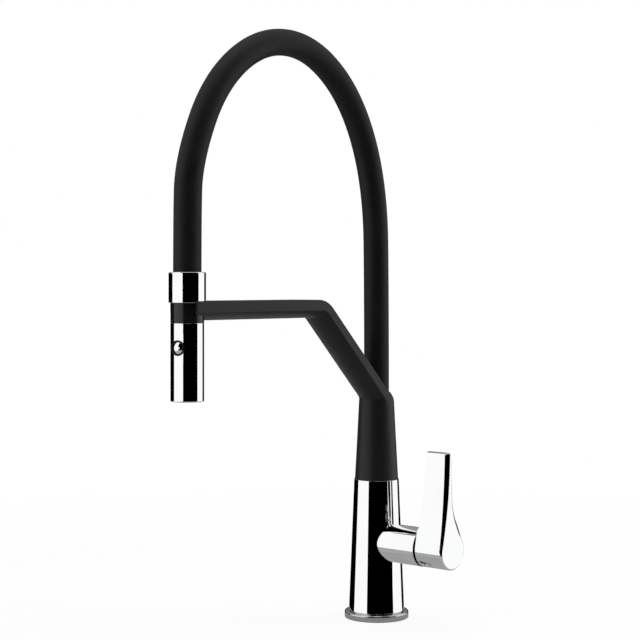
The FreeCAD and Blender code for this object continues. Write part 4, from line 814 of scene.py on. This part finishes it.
class FAUCET_OT_lever(bpy.types.Operator):
    """Chrome lever: a hollow hub with a leaning blade"""

    bl_idname = "faucet.lever"
    bl_label = "Lever"

    def execute(self, context):
        sizes = context.scene.faucet_sizes
        piece = linked("lever_chrome", self.outline(sizes))
        rims = piece.modifiers.new("rims", "BEVEL")
        rims.width = sizes.rim_round
        rims.segments = RIM_SEGMENTS
        rims.limit_method = "WEIGHT"
        rims.use_clamp_overlap = False
        for tool in self.hollows(sizes):
            carved(piece, "DIFFERENCE", tool)
        dressed(smoothed(piece), "chrome", "lever", "lever", finish="lever")
        return {"FINISHED"}

    def outline(self, s):
        """Hub and blade in one outline, drawn out along the lever's axis. Its rims carry the
        weights of their rounding."""
        along = Vector((1, 0, 0))

        def place(back, up):
            return Vector((s.hub_foot, back, s.lever_height + up))

        mesh = bmesh.new()
        corner = mesh.verts.new(place(-s.hub_radius * math.cos(FRONT_LEAN),
                                      s.hub_radius * math.sin(FRONT_LEAN)))
        corner = bow(mesh, corner, place(-s.tip_front, s.tip_height), s.front_sweep, along)
        corner = line(mesh, corner, place(-s.tip_back, s.tip_height))
        corner = line(mesh, corner, place(-s.root_back, s.root_height))
        hub_back = s.hub_radius * math.cos(BACK_LEAN)
        hub_rise = s.hub_radius * math.sin(BACK_LEAN)
        knee = hub_back - (s.knee_height - hub_rise) * math.tan(BACK_LEAN)
        corner = bow(mesh, corner, place(knee, s.knee_height), s.back_sweep, along)
        corner = line(mesh, corner, place(hub_back, hub_rise))
        arc(mesh, corner, place(0, 0), along, -(math.pi + FRONT_LEAN + BACK_LEAN), SMALL_STEPS)
        drawn_out(mesh, along * (s.hub_end - s.hub_foot))
        weights = mesh.edges.layers.float.new("bevel_weight_edge")
        for edge in mesh.edges:
            edge[weights] = self.rim_weight(edge, s)
        return mesh

    def rim_weight(self, edge, s):
        """Rounding of the far rim and of the tip's edges. It widens up the blade's front and
        at the sweep behind."""
        first, second = (vertex.co for vertex in edge.verts)
        rise = (first.z + second.z) / 2 - s.lever_height
        at_tip = min(first.z, second.z) > s.lever_height + s.tip_height - ON_PLANE
        if min(first.x, second.x) < s.hub_end - ON_PLANE:
            return HUB_RIM_SHARE if at_tip and abs(first.x - second.x) > LONG_EDGE else 0.0
        if at_tip:
            return HUB_RIM_SHARE
        if max(first.y, second.y) < -s.tip_front + ON_PLANE:
            widening = min(max(rise / s.root_height, 0.0), 1.0)
        else:
            widening = max(1 - abs(rise - s.knee_height) / s.knee_height, 0.0) ** 2
        return HUB_RIM_SHARE + (1 - HUB_RIM_SHARE) * widening

    def hollows(self, s):
        """Solids to cut away: the blade's lean, the hub's hollow, the stem's square hole and
        the holes of the grub screw and its plug."""
        yield self.lean(s)
        axis = lever_axis(s)
        near = s.hub_foot - PAST
        yield turned([(s.hub_boss, near), (s.hub_hollow, near), (s.hub_hollow, s.hollow_end),
                      (s.hub_boss, s.hollow_end)], SMALL_STEPS, axis)
        past_boss = s.hub_boss + s.boss_room
        yield turned([(0, near), (past_boss, near), (past_boss, s.boss_face),
                      (0, s.boss_face)], SMALL_STEPS, axis)
        socket = bmesh.new()
        deep = s.socket_end - near
        middle = Matrix.Translation((near + deep / 2, 0, s.lever_height))
        bmesh.ops.create_cube(socket, size=1.0, matrix=middle @ Matrix.Diagonal(
            (deep, s.socket_width, s.socket_width, 1)))
        yield socket
        plug_roof = s.plug_depth - s.hub_radius
        yield turned([(0, -s.hub_radius - PAST), (s.plug_radius, -s.hub_radius - PAST),
                      (s.plug_radius, plug_roof), (s.grub_radius, plug_roof),
                      (s.grub_radius, 0), (0, 0)], TINY_STEPS,
                     Matrix.Translation((s.grub_place, 0, s.lever_height)))

    def lean(self, s):
        """What the blade's leaning near face leaves out, down to the hub."""
        side = s.hub_radius + 2 * PAST

        def place(out, up):
            return Vector((out, side, s.lever_height + up))

        near = s.hub_foot - PAST
        top = s.tip_height + PAST
        mesh = bmesh.new()
        low = s.hub_radius + s.shoulder_gap
        first = mesh.verts.new(place(near, low))
        corner = line(mesh, first, place(s.shoulder_foot, low))
        corner = bow(mesh, corner, place(s.blade_foot, s.hub_radius + s.shoulder_rise),
                     s.shoulder_sweep, (0, -1, 0))
        corner = line(mesh, corner, place(s.blade_lean, top))
        corner = line(mesh, corner, place(near, top))
        mesh.edges.new((corner, first))
        return drawn_out(mesh, Vector((0, -2 * side, 0)))


class FAUCET_OT_head(bpy.types.Operator):
    """Collar, black band, chrome shell and push button of the spray head"""

    bl_idname = "faucet.head"
    bl_label = "Spray head"

    def execute(self, context):
        self.barrel(context.scene.faucet_sizes)
        self.button(context.scene.faucet_sizes)
        return {"FINISHED"}

    def barrel(self, s):
        """Collar, band and shell, one above the other on the head's axis."""
        axis = head_axis(s)
        collar = linked("hose_collar_chrome", turned([
            (s.collar_bore, s.collar_foot), (s.collar_radius, s.collar_foot, SOFT_EDGE),
            (s.collar_radius, s.collar_top, s.collar_edge),
            (s.collar_bore, s.collar_top, s.collar_edge)], matrix=axis))
        dressed(smoothed(collar), "chrome", "hose_end", "hose_collar")
        neck = s.head_bore - s.neck_fit
        band = linked("head_band_gloss", turned([
            (s.band_bore, s.band_foot - s.band_spigot),
            (neck, s.band_foot - s.band_spigot, EDGE), (neck, s.band_foot),
            (s.head_radius, s.band_foot, EDGE), (s.head_radius, s.collar_foot, EDGE),
            (s.band_bore, s.collar_foot)], matrix=axis))
        dressed(smoothed(band), "black_gloss", "hose_end", "head_band")
        head_top = s.band_foot - s.head_gap
        shell = linked("head_shell_chrome", turned([
            (s.head_bore, s.head_foot, SOFT_EDGE), (s.head_radius, s.head_foot, s.head_edge),
            (s.head_radius, head_top, EDGE), (s.head_bore, head_top)], matrix=axis))
        carved(shell, "DIFFERENCE", turned([
            (0, s.cap_radius), (s.bezel_radius, s.cap_radius),
            (s.bezel_radius, s.bezel_face + PAST), (0, s.bezel_face + PAST)],
            SMALL_STEPS, button_axis(s)))
        dressed(smoothed(shell), "chrome", "spray_head", "head_shell")

    def button(self, s):
        """Ring with a sloping face, and the domed cap that moves in it."""
        axis = button_axis(s)
        bezel = linked("button_bezel_chrome", turned([
            (s.bezel_bore, s.bezel_foot), (s.bezel_radius, s.bezel_foot),
            (s.bezel_radius, s.bezel_face - s.bezel_slope, s.bezel_edge),
            (s.bezel_bore + s.bezel_land, s.bezel_face, s.bezel_edge),
            (s.bezel_bore, s.bezel_face)], SMALL_STEPS, axis))
        dressed(smoothed(bezel), "chrome", "spray_head", "button_bezel", finish="bezel")
        mesh = bmesh.new()
        sphere = (s.cap_radius ** 2 + s.cap_dome ** 2) / (2 * s.cap_dome)
        top = mesh.verts.new((0, 0, s.cap_rim + s.cap_dome))
        corner = bow(mesh, top, (s.cap_radius, 0, s.cap_rim), sphere, (0, 1, 0), DOME_STEPS)
        corner = line(mesh, corner, (s.cap_radius, 0, s.cap_skirt))
        corner = line(mesh, corner, (s.cap_bore, 0, s.cap_skirt))
        corner = line(mesh, corner, (s.cap_bore, 0, s.cap_roof))
        line(mesh, corner, (0, 0, s.cap_roof))
        cap = linked("button_cap_chrome", spun(mesh, SMALL_STEPS, axis))
        dressed(smoothed(cap), "chrome", "button", "button_cap")


class FAUCET_OT_small_parts(bpy.types.Operator):
    """Finishes of the CAD nodes that stay as they are"""

    bl_idname = "faucet.small_parts"
    bl_label = "Small parts"

    def execute(self, context):
        for subpart in frame["record"]["subparts"]:
            painted(NODES[subpart["node"]], subpart["material_slot"])
        return {"FINISHED"}


# Studio

CAMERA_PLACE = (0.886, -1.079, 0.3024)
CAMERA_AZIMUTH = math.radians(41.5)
LENS = 86.34
FRAME_RISE = -0.0572
CAMERA_BEARING = -48.5
CARD_DISTANCE = 1.6
PIT_DEPTH = 0.5
CARD_TOP = 3.2
BACK_CARD_TOP = 0.34
BACK_START = 131.0
BACK_END = 251.0
BLACK = 0.0
WHITE = 1.0
LAMP_TARGET = (0, 0, 0.25)
FLOOR_REACH = 12.0
SHADOW_REACH = 0.45
SHADOW_GLOW = 0.9
AMBIENT = 0.42


def card_finish(name, grey):
    """A stage material that only reflections see, as a plain grey, black or white."""
    finish = StageFinish(name)
    light = finish.node("ShaderNodeEmission", {}, {"Color": (grey,) * 3, "Strength": 1.0})
    clear = finish.node("ShaderNodeBsdfTransparent")
    return finish.surface(finish.mix(finish.ray("Is Glossy Ray"), clear, light))


def staged_card(name, mesh, place, grey):
    """Sets a card's mesh at its place, with the card's finish."""
    mesh.transform(Matrix.Translation(place))
    screen = linked(name, mesh)
    screen.data.materials.append(card_finish(name, grey))


def toward(bearing, distance, height):
    """A place at a bearing in degrees to the right of the camera."""
    angle = math.radians(CAMERA_BEARING + bearing)
    return (math.cos(angle) * distance, math.sin(angle) * distance, height)


def card(name, centre, radius, low, high, start, end, grey):
    """An upright curved card that only reflections see. Its bearings are in degrees to the
    right of the camera, as seen from the centre."""
    mesh = bmesh.new()
    foot = Vector(toward(start, radius, low))
    edge = [mesh.verts.new(foot), mesh.verts.new(foot + Vector((0, 0, high - low)))]
    mesh.edges.new(edge)
    bmesh.ops.spin(mesh, geom=edge + mesh.edges[:], cent=(0, 0, 0), axis=(0, 0, 1),
                   angle=math.radians(end - start), steps=32)
    staged_card(name, mesh, centre, grey)


def level_card(name, radius, height, grey):
    """A round level card that only reflections see."""
    mesh = bmesh.new()
    bmesh.ops.create_circle(mesh, cap_ends=True, segments=64, radius=radius)
    staged_card(name, mesh, (0, 0, height), grey)


def floor_finish(paint):
    """Pale floor: white to the camera but for the object's shadow, and clear to reflections."""
    finish = StageFinish("studio_floor")
    place = finish.place()
    across = finish.along(place, 0)
    deep = finish.along(place, 1)
    away = (across * across + deep * deep) ** 0.5
    glow_share = finish.spread(away, SHADOW_GLOW, 1.0, SHADOW_REACH, 2 * SHADOW_REACH)
    matt = finish.node("ShaderNodeBsdfDiffuse", {}, {"Color": tuple(paint.floor)})
    glow = finish.node("ShaderNodeEmission", {}, {"Color": (1, 1, 1), "Strength": 1.0})
    seen = finish.mix(glow_share, matt, glow)
    dim = finish.node("ShaderNodeBsdfDiffuse", {}, {"Color": tuple(paint.bounce)})
    clear = finish.node("ShaderNodeBsdfTransparent")
    lit = finish.mix(finish.ray("Is Camera Ray"), dim, seen)
    return finish.surface(finish.mix(finish.ray("Is Glossy Ray"), lit, clear))


def soft_lamp(name, place, target, size, power):
    """A soft lamp that lights surfaces without showing in the chrome."""
    lamp = bpy.data.lights.new(name, "AREA")
    lamp.shape = "RECTANGLE"
    lamp.size, lamp.size_y = size
    lamp.energy = power
    holder = held(name, lamp)
    holder.location = place
    aim = Vector(target) - Vector(place)
    holder.rotation_euler = aim.to_track_quat("-Z", "Y").to_euler()
    holder.visible_glossy = False
    holder.visible_camera = False


class FAUCET_OT_studio(bpy.types.Operator):
    """Pale floor, white surround with black, grey and white cards, soft lamps and the camera"""

    bl_idname = "faucet.studio"
    bl_label = "Studio"

    def execute(self, context):
        paint = context.scene.faucet_colours
        mesh = bmesh.new()
        bmesh.ops.create_grid(mesh, x_segments=1, y_segments=1, size=FLOOR_REACH)
        floor = linked("floor", mesh)
        floor.data.materials.append(floor_finish(paint))

        level_card("grey_card", radius=CARD_DISTANCE, height=-PIT_DEPTH, grey=0.38)
        level_card("table_card", radius=0.088, height=-0.006, grey=0.34)
        self.far_cards()
        self.near_cards(context.scene.faucet_sizes)

        soft_lamp("left_lamp", toward(-75, 1.5, 0.9), LAMP_TARGET, size=(1.2, 1.4), power=5)
        soft_lamp("right_lamp", toward(95, 1.5, 0.8), LAMP_TARGET, size=(0.9, 1.4), power=13)
        soft_lamp("top_lamp", (0, -0.1, 1.9), (0, -0.1, 0), size=(1.6, 1.6), power=18)

        self.make_world()
        self.make_camera()
        return {"FINISHED"}

    def far_cards(self):
        """Cards in front and behind, which draw the broad stripes in the chrome."""
        centre = (0, 0, 0)
        card("front_card", centre, CARD_DISTANCE, low=-PIT_DEPTH, high=CARD_TOP,
             start=-42.5, end=71.5, grey=BLACK)
        card("back_card", centre, CARD_DISTANCE, low=-0.38, high=BACK_CARD_TOP,
             start=BACK_START, end=BACK_END, grey=BLACK)
        card("back_top_card", centre, CARD_DISTANCE, low=BACK_CARD_TOP, high=CARD_TOP,
             start=BACK_START, end=BACK_END, grey=0.3)

    def near_cards(self, s):
        """Small cards beside the spray head and the lever, for their own stripes."""
        head = (0, -s.reach, 0)
        card("head_white_card", head, radius=0.45, low=0.165, high=0.32,
             start=-50.0, end=-24.0, grey=WHITE)
        card("head_dark_card", head, radius=0.06, low=0.2, high=0.315,
             start=-112.0, end=-87.0, grey=BLACK)
        card("blade_back_card", (s.hub_end, mm(6), 0), radius=0.05, low=0.076, high=0.124,
             start=105.5, end=131.0, grey=BLACK)
        card("blade_front_card", (s.hub_end, mm(-7), 0), radius=0.05, low=0.05, high=0.155,
             start=-73.5, end=-40.0, grey=BLACK)

    def make_world(self):
        """White to the camera and to reflections, and a plain level of light elsewhere."""
        world = StageFinish("white_surround", bpy.data.worlds)
        soft = world.node("ShaderNodeBackground", {}, {"Color": (1, 1, 1), "Strength": AMBIENT})
        white = world.node("ShaderNodeBackground", {}, {"Color": (1, 1, 1), "Strength": 1.0})
        seen = world.ray("Is Camera Ray") + world.ray("Is Glossy Ray")
        seen = seen + world.ray("Is Transmission Ray")
        world.surface(world.mix(seen, soft, white))
        bpy.context.scene.world = world.material
        bpy.context.scene.view_settings.view_transform = "Standard"

    def make_camera(self):
        """The photograph's view: level, from the front right."""
        data = bpy.data.cameras.new("camera")
        data.sensor_width = 36.0
        data.lens = LENS
        data.shift_y = FRAME_RISE
        data.clip_start = 0.05
        data.clip_end = 60.0
        camera = held("camera", data)
        camera.location = CAMERA_PLACE
        camera.rotation_euler = (math.pi / 2, 0, CAMERA_AZIMUTH)
        bpy.context.scene.camera = camera


OPERATORS = [FAUCET_OT_small_parts, FAUCET_OT_hose, FAUCET_OT_arm, FAUCET_OT_body,
             FAUCET_OT_lever, FAUCET_OT_head, FAUCET_OT_studio]


class FAUCET_PT_panel(bpy.types.Panel):
    """Sidebar panel that lists the operators"""

    bl_idname = "FAUCET_PT_panel"
    bl_label = "Faucet"
    bl_space_type = "VIEW_3D"
    bl_region_type = "UI"
    bl_category = "Faucet"

    def draw(self, context):
        for operator in OPERATORS:
            self.layout.operator(operator.bl_idname)


CLASSES = [FaucetSizes, FaucetColours, *OPERATORS, FAUCET_PT_panel]


def register():
    for kind in CLASSES:
        bpy.utils.register_class(kind)
    bpy.types.Scene.faucet_sizes = bpy.props.PointerProperty(type=FaucetSizes)
    bpy.types.Scene.faucet_colours = bpy.props.PointerProperty(type=FaucetColours)


def unregister():
    del bpy.types.Scene.faucet_colours
    del bpy.types.Scene.faucet_sizes
    for kind in reversed(CLASSES):
        bpy.utils.unregister_class(kind)


def main():
    """Makes every piece in turn."""
    register()
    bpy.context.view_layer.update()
    for operator in OPERATORS:
        group, name = operator.bl_idname.split(".")
        getattr(getattr(bpy.ops, group), name)()


if __name__ == "__main__":
    main()
